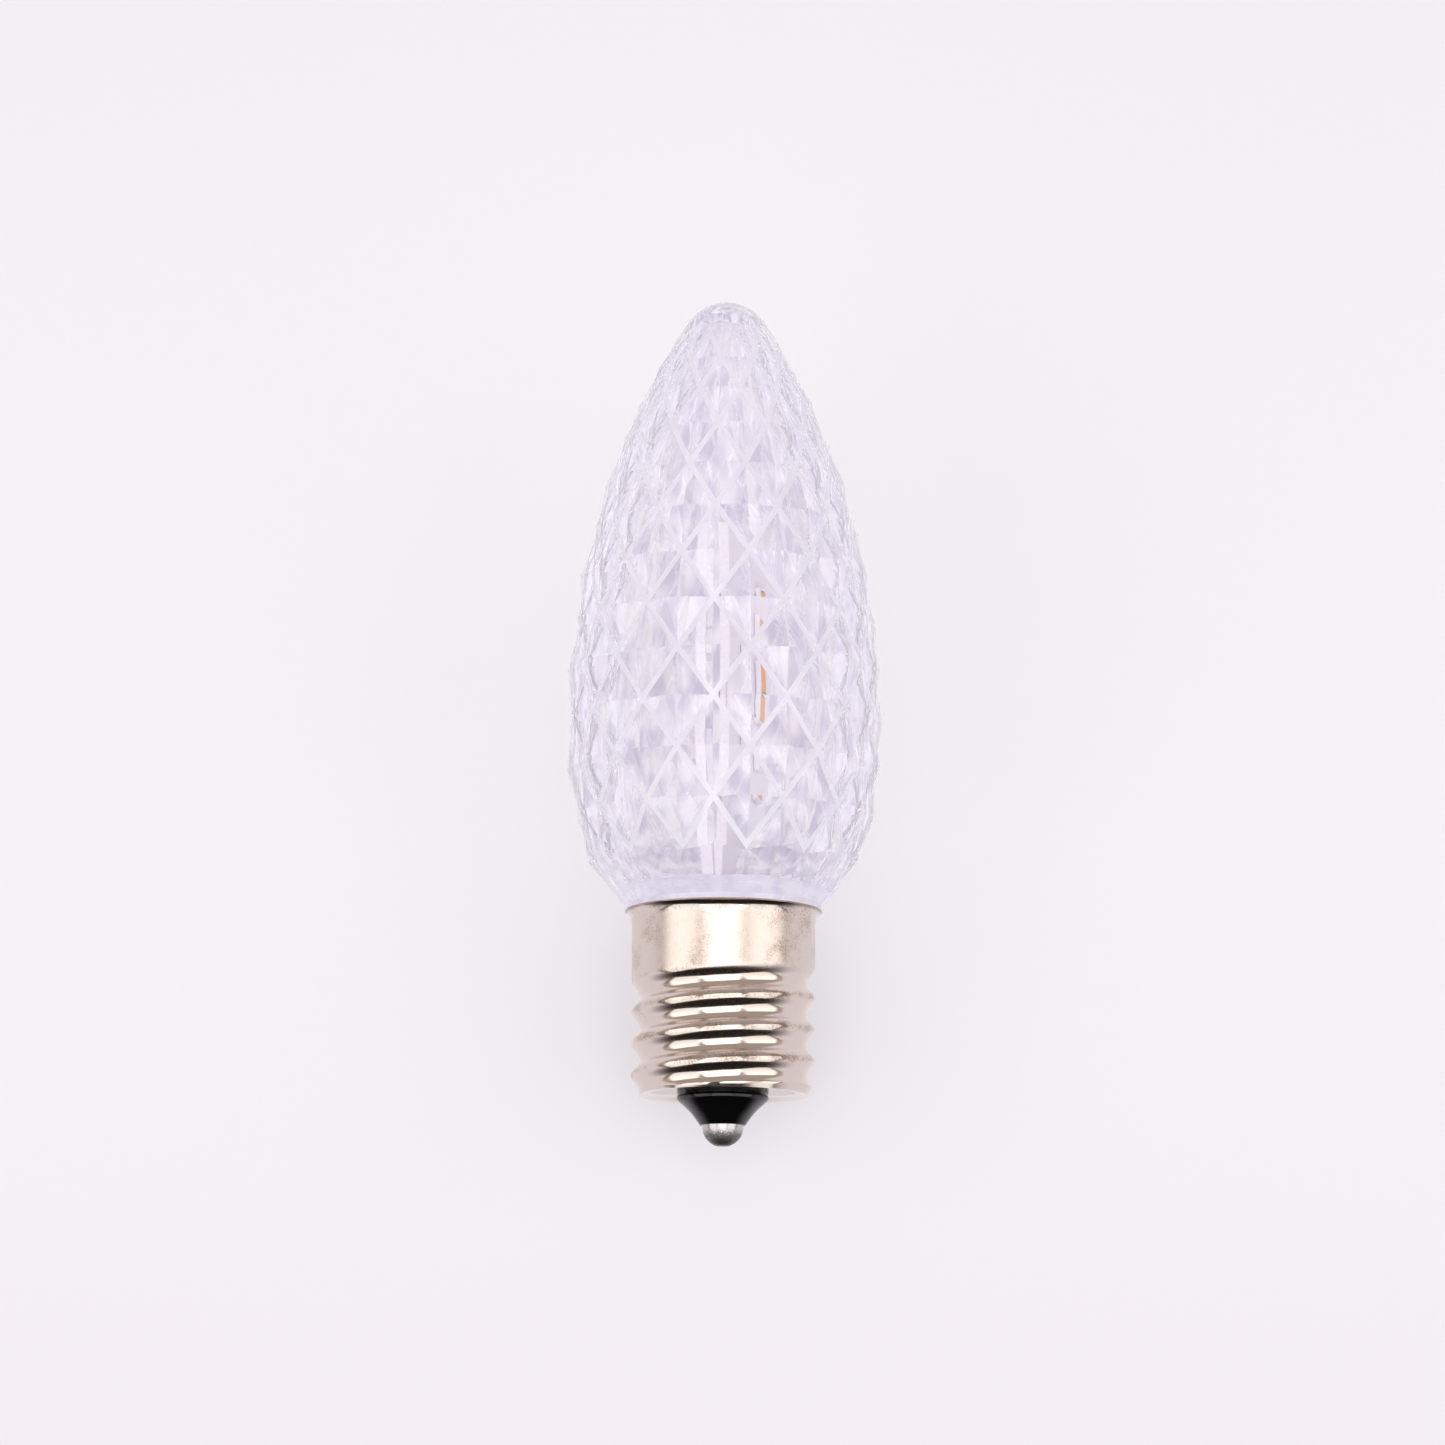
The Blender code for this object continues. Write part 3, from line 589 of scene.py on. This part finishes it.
@dataclass
class Lens:
    """The clear lens: staggered pyramids with rounded grooves outside, a round hollow inside."""

    foot: float = field(default_factory=lambda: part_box("screw_shell")[1].z - RIM_DROP)
    seat: float = field(default_factory=lambda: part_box("screw_shell")[1].z + SEAT_RISE)
    tip: float = field(default_factory=lambda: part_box("lens")[1].z)
    neck_end: float = field(default_factory=lambda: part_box("lens")[0].z)
    shoulder_radius: float = 0.00895
    shoulder_rise_deg: float = 28.5
    shoulder_handle: float = 0.0060
    belly_radius: float = 0.01438
    belly_rise: float = 0.0159
    bowl_handle: float = 0.0015
    flank_handle: float = 0.0172
    nose_radius: float = 0.0034
    nose_slope_deg: float = 34.7
    nose_handle: float = 0.0099
    nose_steps: int = 10
    neck_radius: float = 0.00765
    neck_bore: float = 0.00665
    wall: float = 0.0019
    tip_wall: float = 0.0030
    cavity_tip_radius: float = 0.0008
    around: int = 13
    turn_deg: float = -94.2
    first_row: float = 0.00514
    row_step: float = 0.00446
    row_shrink: float = 1.035
    last_row_room: float = 0.0005
    groove_depth: float = 0.00068
    groove_width: float = 0.00052
    groove_segments: int = 3
    cavity_rows: int = 36
    cavity_columns: int = 208
    crease_deg: float = 30.0
    curve_steps: int = 60

    def nose(self) -> tuple[float, float, float]:
        """Gives the dome that carries on the slope of the flank.

        Returns:
            Its radius of curvature, the height of its centre and the height where it starts.
        """
        slope = math.radians(self.nose_slope_deg)
        curve = self.nose_radius / math.cos(slope)
        return curve, self.tip - curve, self.tip - curve * (1 - math.sin(slope))

    def outline(self) -> Outline:
        """Gives the outer outline from the shoulder to the nose.

        Returns:
            Points as (radius, height).
        """
        rise = math.radians(self.shoulder_rise_deg)
        slope = math.radians(self.nose_slope_deg)
        belly = (self.belly_radius, self.seat + self.belly_rise)
        nose = (self.nose_radius, self.nose()[2])
        bowl = [
            (self.shoulder_radius, self.seat),
            (self.shoulder_radius + self.shoulder_handle * math.cos(rise),
             self.seat + self.shoulder_handle * math.sin(rise)),
            (self.belly_radius, belly[1] - self.bowl_handle),
            belly,
        ]
        flank = [
            belly,
            (self.belly_radius, belly[1] + self.flank_handle),
            (nose[0] + self.nose_handle * math.sin(slope), nose[1] - self.nose_handle * math.cos(slope)),
            nose,
        ]
        return bezier(bowl, self.curve_steps) + bezier(flank, self.curve_steps)[1:]

    def levels(self) -> Outline:
        """Gives the rows of the diamond pattern from the shoulder to the nose.

        Returns:
            Points as (radius, height).
        """
        outline = self.outline()
        rows = [outline[0]]
        wanted = self.first_row
        walked = 0.0
        for (r0, z0), (r1, z1) in zip(outline, outline[1:]):
            stretch = math.hypot(r1 - r0, z1 - z0)
            if walked + stretch >= wanted:
                share = (wanted - walked) / stretch
                radius = r0 + share * (r1 - r0)
                rows.append((radius, z0 + share * (z1 - z0)))
                wanted += self.row_step * (1 - self.row_shrink * (1 - radius / self.belly_radius) ** 2)
            walked += stretch
        nose = outline[-1]
        if nose[1] - rows[-1][1] < self.last_row_room:
            rows.pop()
        return rows + [nose]

    def crossings(self, bm: bmesh.types.BMesh, rows: Outline) -> list[bmesh.types.BMVert]:
        """Finds the points where grooves cross: every other point of each row but the first and the last.

        Args:
            bm: The spun body.
            rows: The rows of the pattern.

        Returns:
            The vertices.
        """
        columns = 2 * self.around
        found = []
        for vert in bm.verts:
            row = min(range(len(rows)), key=lambda i: abs(rows[i][1] - vert.co.z))
            column = (math.atan2(vert.co.y, vert.co.x) - math.radians(self.turn_deg)) * columns / math.tau
            inner = 0 < row < len(rows) - 1 and abs(rows[row][1] - vert.co.z) < WELD
            if inner and (round(column) + row) % 2 == 0:
                found.append(vert)
        return found

    def body(self) -> bmesh.types.BMesh:
        """Spins the rows, sinks the crossings and cuts the grooves between them.

        Returns:
            The closed outside of the lens. Its grooves have the second material and its seat the fourth.
        """
        rows = self.levels()
        curve, centre, nose_start = self.nose()
        slope = math.radians(self.nose_slope_deg)
        angles = [slope + (math.pi / 2 - slope) * step / self.nose_steps
                  for step in range(1, self.nose_steps)]
        dome = [(curve * math.cos(angle), centre + curve * math.sin(angle)) for angle in angles]
        outline = [(0.0, self.neck_end), (self.neck_radius, self.neck_end), (self.neck_radius, self.foot),
                   (self.shoulder_radius, self.foot)]
        outline += rows + dome + [(0.0, self.tip)]
        bm = spin_outline(outline, 2 * self.around, math.radians(self.turn_deg))
        crossings = self.crossings(bm, rows)
        sunk = 1 - self.groove_depth / self.belly_radius
        bmesh.ops.scale(bm, vec=(sunk, sunk, 1.0), verts=crossings)
        grooves = bmesh.ops.connect_verts(bm, verts=crossings)["edges"]
        squares = [face for face in bm.faces
                   if len(face.verts) > 3 and rows[0][1] < face.calc_center_median().z < nose_start]
        bmesh.ops.triangulate(bm, faces=squares)
        rounded = bmesh.ops.bevel(bm, geom=grooves, offset=self.groove_width / 2, offset_type="OFFSET",
                                  segments=self.groove_segments, profile=0.5, affect="EDGES", material=-1,
                                  clamp_overlap=True)["faces"]
        for face in rounded:
            face.smooth = True
            face.material_index = 1
        for face in bm.faces:
            if max(vert.co.z for vert in face.verts) < self.foot + WELD:
                face.material_index = 3
            elif min(vert.co.z for vert in face.verts) > nose_start - WELD:
                face.smooth = True
        return bm

    def cavity(self) -> bmesh.types.BMesh:
        """Spins the hollow, a wall's thickness in from the outside.

        Returns:
            The closed hollow, which runs out of the neck. Its faces have the third material.
        """
        outline = self.outline()
        throat = self.seat + self.wall
        top = self.tip - self.tip_wall
        inner = []
        for (r0, z0), (r1, z1) in zip(outline, outline[1:]):
            along = math.hypot(r1 - r0, z1 - z0)
            radius = (r0 + r1) / 2 - self.wall * (z1 - z0) / along
            height = (z0 + z1) / 2 + self.wall * (r1 - r0) / along
            in_bowl = radius > self.neck_bore and height > throat
            in_nose = z0 > self.seat + self.belly_rise and radius > self.cavity_tip_radius and height < top
            if in_bowl or in_nose:
                inner.append((radius, height))
        last = self.cavity_rows - 1
        picked = [inner[round(row * (len(inner) - 1) / last)] for row in range(self.cavity_rows)]
        mouth = self.neck_end - self.wall
        profile = [(0.0, mouth), (self.neck_bore, mouth), (self.neck_bore, throat)] + picked + [(0.0, top)]
        bm = spin_outline(profile, self.cavity_columns, math.radians(self.turn_deg))
        for face in bm.faces:
            face.smooth = True
            face.material_index = 2 if face.calc_center_median().z > throat else 3
        for edge in bm.edges:
            edge.smooth = edge.calc_face_angle(0.0) < math.radians(self.crease_deg)
        return bm

    def build(self) -> bpy.types.Object:
        """Hollows the body and replaces the plain lens.

        Returns:
            The lens.
        """
        finish = MouldedPolycarbonate().make()
        lens = add_piece("faceted_lens", self.body(), finish)
        hollow = add_piece("lens_hollow", self.cavity(), finish)
        for further in (FrostedGroove(), CoreSide(), SeatAdhesiveWithPaintedGlow()):
            material = further.make()
            lens.data.materials.append(material)
            hollow.data.materials.append(material)
        cut = lens.modifiers.new("hollow", "BOOLEAN")
        cut.operation = "DIFFERENCE"
        cut.object = hollow
        graph = bpy.context.evaluated_depsgraph_get()
        mesh = bpy.data.meshes.new_from_object(lens.evaluated_get(graph))
        lens.modifiers.clear()
        lens.data = mesh
        bpy.data.objects.remove(hollow)
        # Light goes through the clear walls to the backdrop, and a path tracer does not find that way
        lens.visible_shadow = False
        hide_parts("lens")
        return lens


@dataclass
class ScrewShell:
    """The nickel-plated shell: flared rim, plain band, rolled thread and turned-in end."""

    top: float = field(default_factory=lambda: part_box("screw_shell")[1].z)
    bottom: float = field(default_factory=lambda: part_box("screw_shell")[0].z)
    wall: float = 0.0003
    band_radius: float = 0.00825
    rim_radius: float = 0.00887
    lip: float = 0.0001
    lip_share: float = 0.3
    flare_end_deg: float = 60.0
    flare_steps: int = 10
    end_radius: float = 0.00758
    end_taper: float = 0.6
    end_hole: float = 0.0037
    pitch: float = 0.0254 / 9
    depth: float = 0.0007
    sharpness: float = 1.15
    start_drop: float = 0.0066
    run_out_end: float = 1.1 * math.pi
    run_out: float = 0.7 * math.pi
    columns: int = 160
    rows_per_pitch: int = 24
    crease_deg: float = 50.0

    def radius_at(self, angle: float, height: float) -> float:
        """Gives the outer radius of the rolled thread.

        Args:
            angle: Angle round the axis, from -pi to pi.
            height: Height above the origin.

        Returns:
            The radius.
        """
        turns = (height - (self.top - self.start_drop)) / self.pitch - angle / math.tau
        strand = round(turns)
        swept = angle + math.tau * strand
        depth = self.depth * smooth_share((self.run_out_end - swept) / self.run_out)
        ridge = (0.5 - 0.5 * math.cos(math.tau * (turns - strand))) ** self.sharpness
        taper = self.end_radius + self.end_taper * (height - self.bottom)
        return min(self.band_radius - depth * (1 - ridge), taper)

    def build(self) -> bpy.types.Object:
        """Spins the shell, rolls its thread and thickens it.

        Returns:
            The shell.
        """
        end = math.radians(self.flare_end_deg)
        curve = (self.rim_radius - self.band_radius) / (1 - math.cos(end))
        flare_foot = self.top - RIM_DROP - self.lip - curve * math.sin(end)
        leans = [end * (1 - step / self.flare_steps) for step in range(self.flare_steps + 1)]
        outline = [(self.band_radius + curve * (1 - math.cos(lean)), flare_foot + curve * math.sin(lean))
                   for lean in leans]
        thread_top = self.top - self.start_drop + self.pitch
        rows = round((thread_top - self.bottom) / self.pitch * self.rows_per_pitch)
        heights = [thread_top + (self.bottom - thread_top) * row / rows for row in range(rows + 1)]
        outline += [(self.band_radius, height) for height in heights] + [(self.end_hole, self.bottom)]
        bm = spin_outline(outline[::-1], self.columns)
        for vert in bm.verts:
            radius = math.hypot(vert.co.x, vert.co.y)
            if vert.co.z < thread_top + WELD and radius > self.end_hole + MM:
                share = self.radius_at(math.atan2(vert.co.y, vert.co.x), vert.co.z) / radius
                vert.co = Vector((vert.co.x * share, vert.co.y * share, vert.co.z))
        shell = add_piece("threaded_shell", bm, NickelPlate().make(), self.crease_deg)
        full = shell.vertex_groups.new(name="full_wall")
        for vert in shell.data.vertices:
            flared = smooth_share((vert.co.z - flare_foot) / (curve * math.sin(end)))
            full.add([vert.index], 1 - (1 - self.lip_share) * flared, "REPLACE")
        wall = shell.modifiers.new("wall", "SOLIDIFY")
        wall.thickness = self.wall
        wall.offset = -1.0
        wall.use_even_offset = True
        wall.vertex_group = full.name
        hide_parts("screw_shell")
        return shell


@dataclass
class Insulator:
    """The black cone with its collar and disc, edges rounded."""

    cone_end: float = field(default_factory=lambda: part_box("insulator")[0].z)
    cone_rim: float = field(default_factory=lambda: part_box("insulator")[0].z + CONE_HEIGHT)
    shell_end: float = field(default_factory=lambda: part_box("screw_shell")[0].z)
    disc_top: float = field(default_factory=lambda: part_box("insulator")[1].z)
    disc_radius: float = 0.0065
    disc_thickness: float = 0.0020
    end_radius: float = 0.00203
    rim_radius: float = 0.00415
    collar_radius: float = 0.0034
    bore: float = 0.00095
    edge: float = 0.00022
    waist: float = 0.00022
    shell_gap: float = 0.00002
    cone_steps: int = 12
    edge_steps: int = 6
    columns: int = 96
    crease_deg: float = 40.0

    def build(self) -> bpy.types.Object:
        """Spins the insulator's outline.

        Returns:
            The insulator.
        """
        top = self.shell_end - self.shell_gap
        waist = ((self.end_radius + self.rim_radius) / 2 - self.waist, (self.cone_end + self.cone_rim) / 2)
        cone = bezier([(self.end_radius, self.cone_end), waist, waist,
                       (self.rim_radius - self.edge / 3, top - 2 * self.edge)], self.cone_steps)
        edge = bezier([cone[-1], (self.rim_radius, top - self.edge), (self.rim_radius, top),
                       (self.rim_radius - self.edge, top)], self.edge_steps)
        disc_low = self.disc_top - self.disc_thickness
        outline = [(self.bore, self.cone_end)] + cone + edge[1:] + [
            (self.collar_radius, top), (self.collar_radius, disc_low), (self.disc_radius, disc_low),
            (self.disc_radius, self.disc_top), (self.bore, self.disc_top), (self.bore, self.cone_end)]
        piece = add_piece("insulator_cone", spin_outline(outline, self.columns), MouldedPhenolic().make(),
                          self.crease_deg)
        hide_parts("insulator")
        return piece


@dataclass
class CentreContact:
    """The drop of solder under the cone."""

    cone_end: float = field(default_factory=lambda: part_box("insulator")[0].z)
    radius: float = 0.00188
    flat_radius: float = 0.0006
    lumps: float = 0.00002
    steps: int = 16
    columns: int = 64
    crease_deg: float = 40.0

    def build(self) -> bpy.types.Object:
        """Spins the drop and makes it slightly uneven.

        Returns:
            The contact.
        """
        lowest = math.asin(self.flat_radius / self.radius)
        depth = self.cone_end / math.cos(lowest)
        outline = [(0.0, 0.0)]
        for step in range(self.steps + 1):
            angle = lowest + (math.pi / 2 - lowest) * step / self.steps
            outline.append((self.radius * math.sin(angle), self.cone_end - depth * math.cos(angle)))
        outline.append((0.0, self.cone_end))
        bm = spin_outline(outline, self.columns)
        # Three broad waves and five fine ones go round the drop and fade out at its top and its flat
        for vert in bm.verts:
            angle = math.atan2(vert.co.y, vert.co.x)
            from_flat = smooth_share(vert.co.z / self.cone_end * 3)
            share = from_flat * smooth_share((self.cone_end - vert.co.z) / MM * 4)
            lump = self.lumps * share * (math.sin(3 * angle + 0.6) + 0.5 * math.sin(5 * angle + 2.0) - 0.2)
            radius = max(math.hypot(vert.co.x, vert.co.y), WELD)
            vert.co = Vector((vert.co.x * (1 + lump / radius), vert.co.y * (1 + lump / radius), vert.co.z))
        contact = add_piece("solder_drop", bm, TinSolder().make(), self.crease_deg)
        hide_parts("centre_contact")
        return contact


@dataclass
class LedBoard:
    """The circuit board and what is soldered to it: the frame's own nodes, dressed."""

    finishes: dict = field(default_factory=lambda: {
        "circuit_board": PlainBody("white_solder_mask", "E2DEE5", "D8D4DC", 0.35),
        "led_body": PlainBody("white_moulded_tray", "E6E2E8", "DCD8E0", 0.4),
        "led_phosphor": PlainBody("amber_phosphor_silicone", "E0A860", "D2964C", 0.35),
        "bridge_rectifier": PlainBody("black_epoxy_moulded", "1A1A1C", "121214", 0.45),
        "chip_resistor": PlainBody("black_glass_film", "16161A", "0E0E10", 0.3),
        "centre_lead": PlainBody("tinned_copper_wire", "D8CCC0", "C8B8A4", 0.3, 1.0),
        "shell_lead": PlainBody("tinned_copper_wire_outer", "D8CCC0", "C8B8A4", 0.3, 1.0),
        "contact_eyelet": PlainBody("drawn_brass", "DDB873", "C8A058", 0.25, 1.0),
        "centre_lead_joint": TinSolder("tin_solder_joint"),
        "shell_lead_joint": TinSolder("tin_solder_joint_outer"),
    })

    def build(self) -> list[bpy.types.Object]:
        """Gives each inner node its finish.

        Returns:
            The dressed nodes.
        """
        dressed = []
        made = {name: finish.make() for name, finish in self.finishes.items()}
        for name, node in sorted(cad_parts.items()):
            kinds = [kind for kind in made if name == kind or name.rstrip("0123456789").rstrip("_") == kind]
            if kinds:
                node.data.materials.clear()
                node.data.materials.append(made[kinds[0]])
                dressed.append(node)
        return dressed


@dataclass(frozen=True)
class SoftLamp:
    """A soft rectangular lamp: 0 degrees is in front and 90 to the right, and a radiance of 1 looks white."""

    name: str
    azimuth_deg: float
    width: float
    radiance: float
    elevation_deg: float = -16.0
    height: float = 1.16
    distance: float = 0.8


@dataclass
class Studio:
    """Camera, lamps, surroundings and backdrop."""

    distance: float = 0.48
    elevation_deg: float = -10.3
    aim_height: float = 0.0384
    aim_across: float = -0.00018
    roll_deg: float = 0.27
    lens_mm: float = 132.1
    background: str = "F6F1F7"
    table_colour: str = "EEEBF1"
    # Painted shade: the table's colour towards the bottom, below the base
    table_painted_shade_colour: str = "E9E5EC"
    table_painted_shade_span: tuple[float, float] = (0.03, -0.03)
    table_belly: tuple[float, float] = (0.0146, 0.038)
    table_thread: tuple[float, float] = (0.0095, 0.006)
    table_radius: float = 0.22
    table_fade: float = 0.132
    table_columns: int = 96
    table_lit_share: float = 0.5
    # Painted light and shade: soft caustic patches on the table, seen only through the lens
    painted_caustic_colour: str = "C8C3D6"
    painted_caustic_mm: float = 5.0
    painted_caustic_edge: tuple[float, float] = (0.42, 0.62)
    room_low: str = "1E1A14"
    room_high: str = "B8AFA8"
    through_low: str = "A8A4B4"
    through_high: str = "E2DDE4"
    bounces: int = 32
    pale_from_side: tuple[float, float] = (-0.06, 0.02)
    pale_from_below: tuple[float, float] = (-0.8, -0.5)
    room_rise: tuple[float, float] = (-0.85, 0.2)
    lamps: tuple[SoftLamp, ...] = (
        SoftLamp("lamp_left", -54, 0.66, 1.25),
        SoftLamp("lamp_middle", -1, 0.76, 1.72),
        SoftLamp("lamp_right", 54, 0.74, 1.25),
    )

    def camera(self) -> bpy.types.Object:
        """Places the camera in front of the bulb and a little below it.

        Returns:
            The camera.
        """
        rise = math.radians(self.elevation_deg)
        back = Vector((0.0, -math.cos(rise), math.sin(rise)))
        data = bpy.data.cameras.new("camera")
        data.lens = self.lens_mm
        data.clip_start = 0.01
        camera = bpy.data.objects.new("camera", data)
        bpy.context.scene.collection.objects.link(camera)
        camera.location = Vector((self.aim_across, 0.0, self.aim_height)) + back * self.distance
        turn = (-back).to_track_quat("-Z", "Y")
        camera.rotation_mode = "QUATERNION"
        camera.rotation_quaternion = turn @ Euler((0.0, 0.0, math.radians(self.roll_deg))).to_quaternion()
        bpy.context.scene.camera = camera
        return camera

    def lamp(self, lamp: SoftLamp) -> bpy.types.Object:
        """Adds a lamp that faces the bulb.

        Args:
            lamp: Its place, size and strength.

        Returns:
            The lamp's object, which the camera and the lens do not see.
        """
        data = bpy.data.lights.new(lamp.name, "AREA")
        data.shape = "RECTANGLE"
        data.size, data.size_y = lamp.width, lamp.height
        data.energy = lamp.radiance * math.pi * lamp.width * lamp.height
        light = bpy.data.objects.new(lamp.name, data)
        bpy.context.scene.collection.objects.link(light)
        azimuth = math.radians(lamp.azimuth_deg)
        rise = math.radians(lamp.elevation_deg)
        level = math.cos(rise)
        out = Vector((math.sin(azimuth) * level, -math.cos(azimuth) * level, math.sin(rise)))
        light.location = Vector((0.0, 0.0, self.aim_height)) + out * lamp.distance
        light.rotation_euler = (-out).to_track_quat("-Z", "Y").to_euler()
        light.visible_camera = False
        light.visible_transmission = False
        return light

    def table(self) -> bpy.types.Object:
        """Lays a pale table against the back of the bulb, where belly and thread touch it.

        It shows only from its front, and it fades into the surroundings towards its edge.

        Returns:
            The table.
        """
        bm = bmesh.new()
        bmesh.ops.create_circle(bm, cap_ends=True, segments=self.table_columns, radius=self.table_radius)
        mesh = bpy.data.meshes.new("table")
        lean = math.atan2(self.table_belly[0] - self.table_thread[0],
                          self.table_belly[1] - self.table_thread[1])
        bmesh.ops.rotate(bm, verts=bm.verts[:], matrix=Euler((math.pi / 2 - lean, 0.0, 0.0)).to_matrix())
        bmesh.ops.translate(bm, verts=bm.verts[:], vec=(0.0, self.table_belly[0], self.table_belly[1]))
        bm.to_mesh(mesh)
        bm.free()
        mesh.materials.append(self.table_material())
        table = bpy.data.objects.new("table", mesh)
        bpy.context.scene.collection.objects.link(table)
        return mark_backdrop(table)

    def table_material(self) -> bpy.types.Material:
        """Makes matt white board that glows a little from the light on its back, so shadows on it stay faint.

        Painted shade darkens it towards the bottom. Through the lens it also shows painted light and shade
        that stand in for what the facets cast on it.

        Returns:
            The material. It is clear from behind, towards its edge and in mirror images.
        """
        material = bpy.data.materials.new("matt_white_board_table")
        material.use_nodes = True
        tree = material.node_tree
        shader = tree.nodes["Principled BSDF"]
        path = add_node(tree, "LightPath").outputs
        centre = Vector((0.0, self.table_belly[0], self.table_belly[1]))
        place = add_node(tree, "TexCoord").outputs["Object"]
        away = add_node(tree, "VectorMath", {0: place, 1: centre}, operation="DISTANCE").outputs["Value"]
        # Painted light and shade: caustic patches that only rays through the lens see
        cast = ramp(tree, noise(tree, place, self.painted_caustic_mm, 1.0), self.painted_caustic_edge)
        seen = calculate(tree, "MULTIPLY", cast, path["Is Transmission Ray"])
        height = add_node(tree, "SeparateXYZ", {0: place}).outputs[2]
        # Painted shade: the table darkens towards the bottom
        board = blend(tree, ramp(tree, height, self.table_painted_shade_span), self.table_colour, self.table_painted_shade_colour)
        colour = blend(tree, seen, board, self.painted_caustic_colour)
        lit = add_node(tree, "VectorMath", {0: colour, "Scale": self.table_lit_share}, operation="SCALE")
        tree.links.new(lit.outputs[0], shader.inputs["Base Color"])
        tree.links.new(colour, shader.inputs["Emission Color"])
        shader.inputs["Emission Strength"].default_value = 1 - self.table_lit_share
        shader.inputs["Roughness"].default_value = 1.0
        shader.inputs["Specular IOR Level"].default_value = 0.0
        faded = ramp(tree, away, (self.table_fade, self.table_radius), smooth=True)
        behind = add_node(tree, "NewGeometry").outputs["Backfacing"]
        mirrored = calculate(tree, "SUBTRACT", path["Is Glossy Ray"], path["Is Transmission Ray"],
                             clamped=True)
        unseen = calculate(tree, "MAXIMUM", calculate(tree, "MAXIMUM", faded, behind), mirrored)
        clear = add_node(tree, "BsdfTransparent").outputs[0]
        mix = add_node(tree, "MixShader", {0: unseen, 1: shader.outputs[0], 2: clear}).outputs[0]
        tree.links.new(mix, tree.nodes["Material Output"].inputs["Surface"])
        return material

    def surroundings(self) -> bpy.types.World:
        """Makes the room: pale behind the bulb, dark below and warm grey above in front of it.

        Returns:
            The world.
        """
        world = bpy.data.worlds.new("studio")
        world.use_nodes = True
        bpy.context.scene.world = world
        tree = world.node_tree
        direction = add_node(tree, "TexCoord").outputs["Generated"]
        parts = add_node(tree, "SeparateXYZ", {0: direction}).outputs
        behind = calculate(tree, "MULTIPLY", ramp(tree, parts[1], self.pale_from_side, smooth=True),
                           ramp(tree, parts[2], self.pale_from_below, smooth=True))
        high = ramp(tree, parts[2], self.room_rise, smooth=True)
        room = blend(tree, high, self.room_low, self.room_high)
        through = blend(tree, high, self.through_low, self.through_high)
        path = add_node(tree, "LightPath").outputs
        bent = calculate(tree, "GREATER_THAN", path["Transmission Depth"], ENTERED)
        around = blend(tree, behind, blend(tree, bent, room, through), self.background)
        shown = blend(tree, path["Is Camera Ray"], around, self.background)
        tree.links.new(shown, tree.nodes["Background"].inputs["Color"])
        return world

    def build(self) -> None:
        """Sets the whole studio up."""
        scene = bpy.context.scene
        scene.view_settings.view_transform = "Standard"
        # Light passes the two walls of the lens many times before it leaves
        scene.cycles.max_bounces = self.bounces
        scene.cycles.transmission_bounces = self.bounces
        scene.cycles.glossy_bounces = self.bounces
        self.camera()
        self.surroundings()
        self.table()
        for lamp in self.lamps:
            self.lamp(lamp)


def main() -> None:
    """Builds the bulb's looks in order and reports each piece."""
    logging.basicConfig(level=logging.INFO, format="%(name)s: %(message)s")
    Studio().build()
    for maker in (Lens(), ScrewShell(), Insulator(), CentreContact()):
        piece = maker.build()
        LOG.info("%s: %d faces", piece.name, len(piece.data.polygons))
    for node in LedBoard().build():
        LOG.info("%s dressed", node.name)


if __name__ == "__main__":
    main()
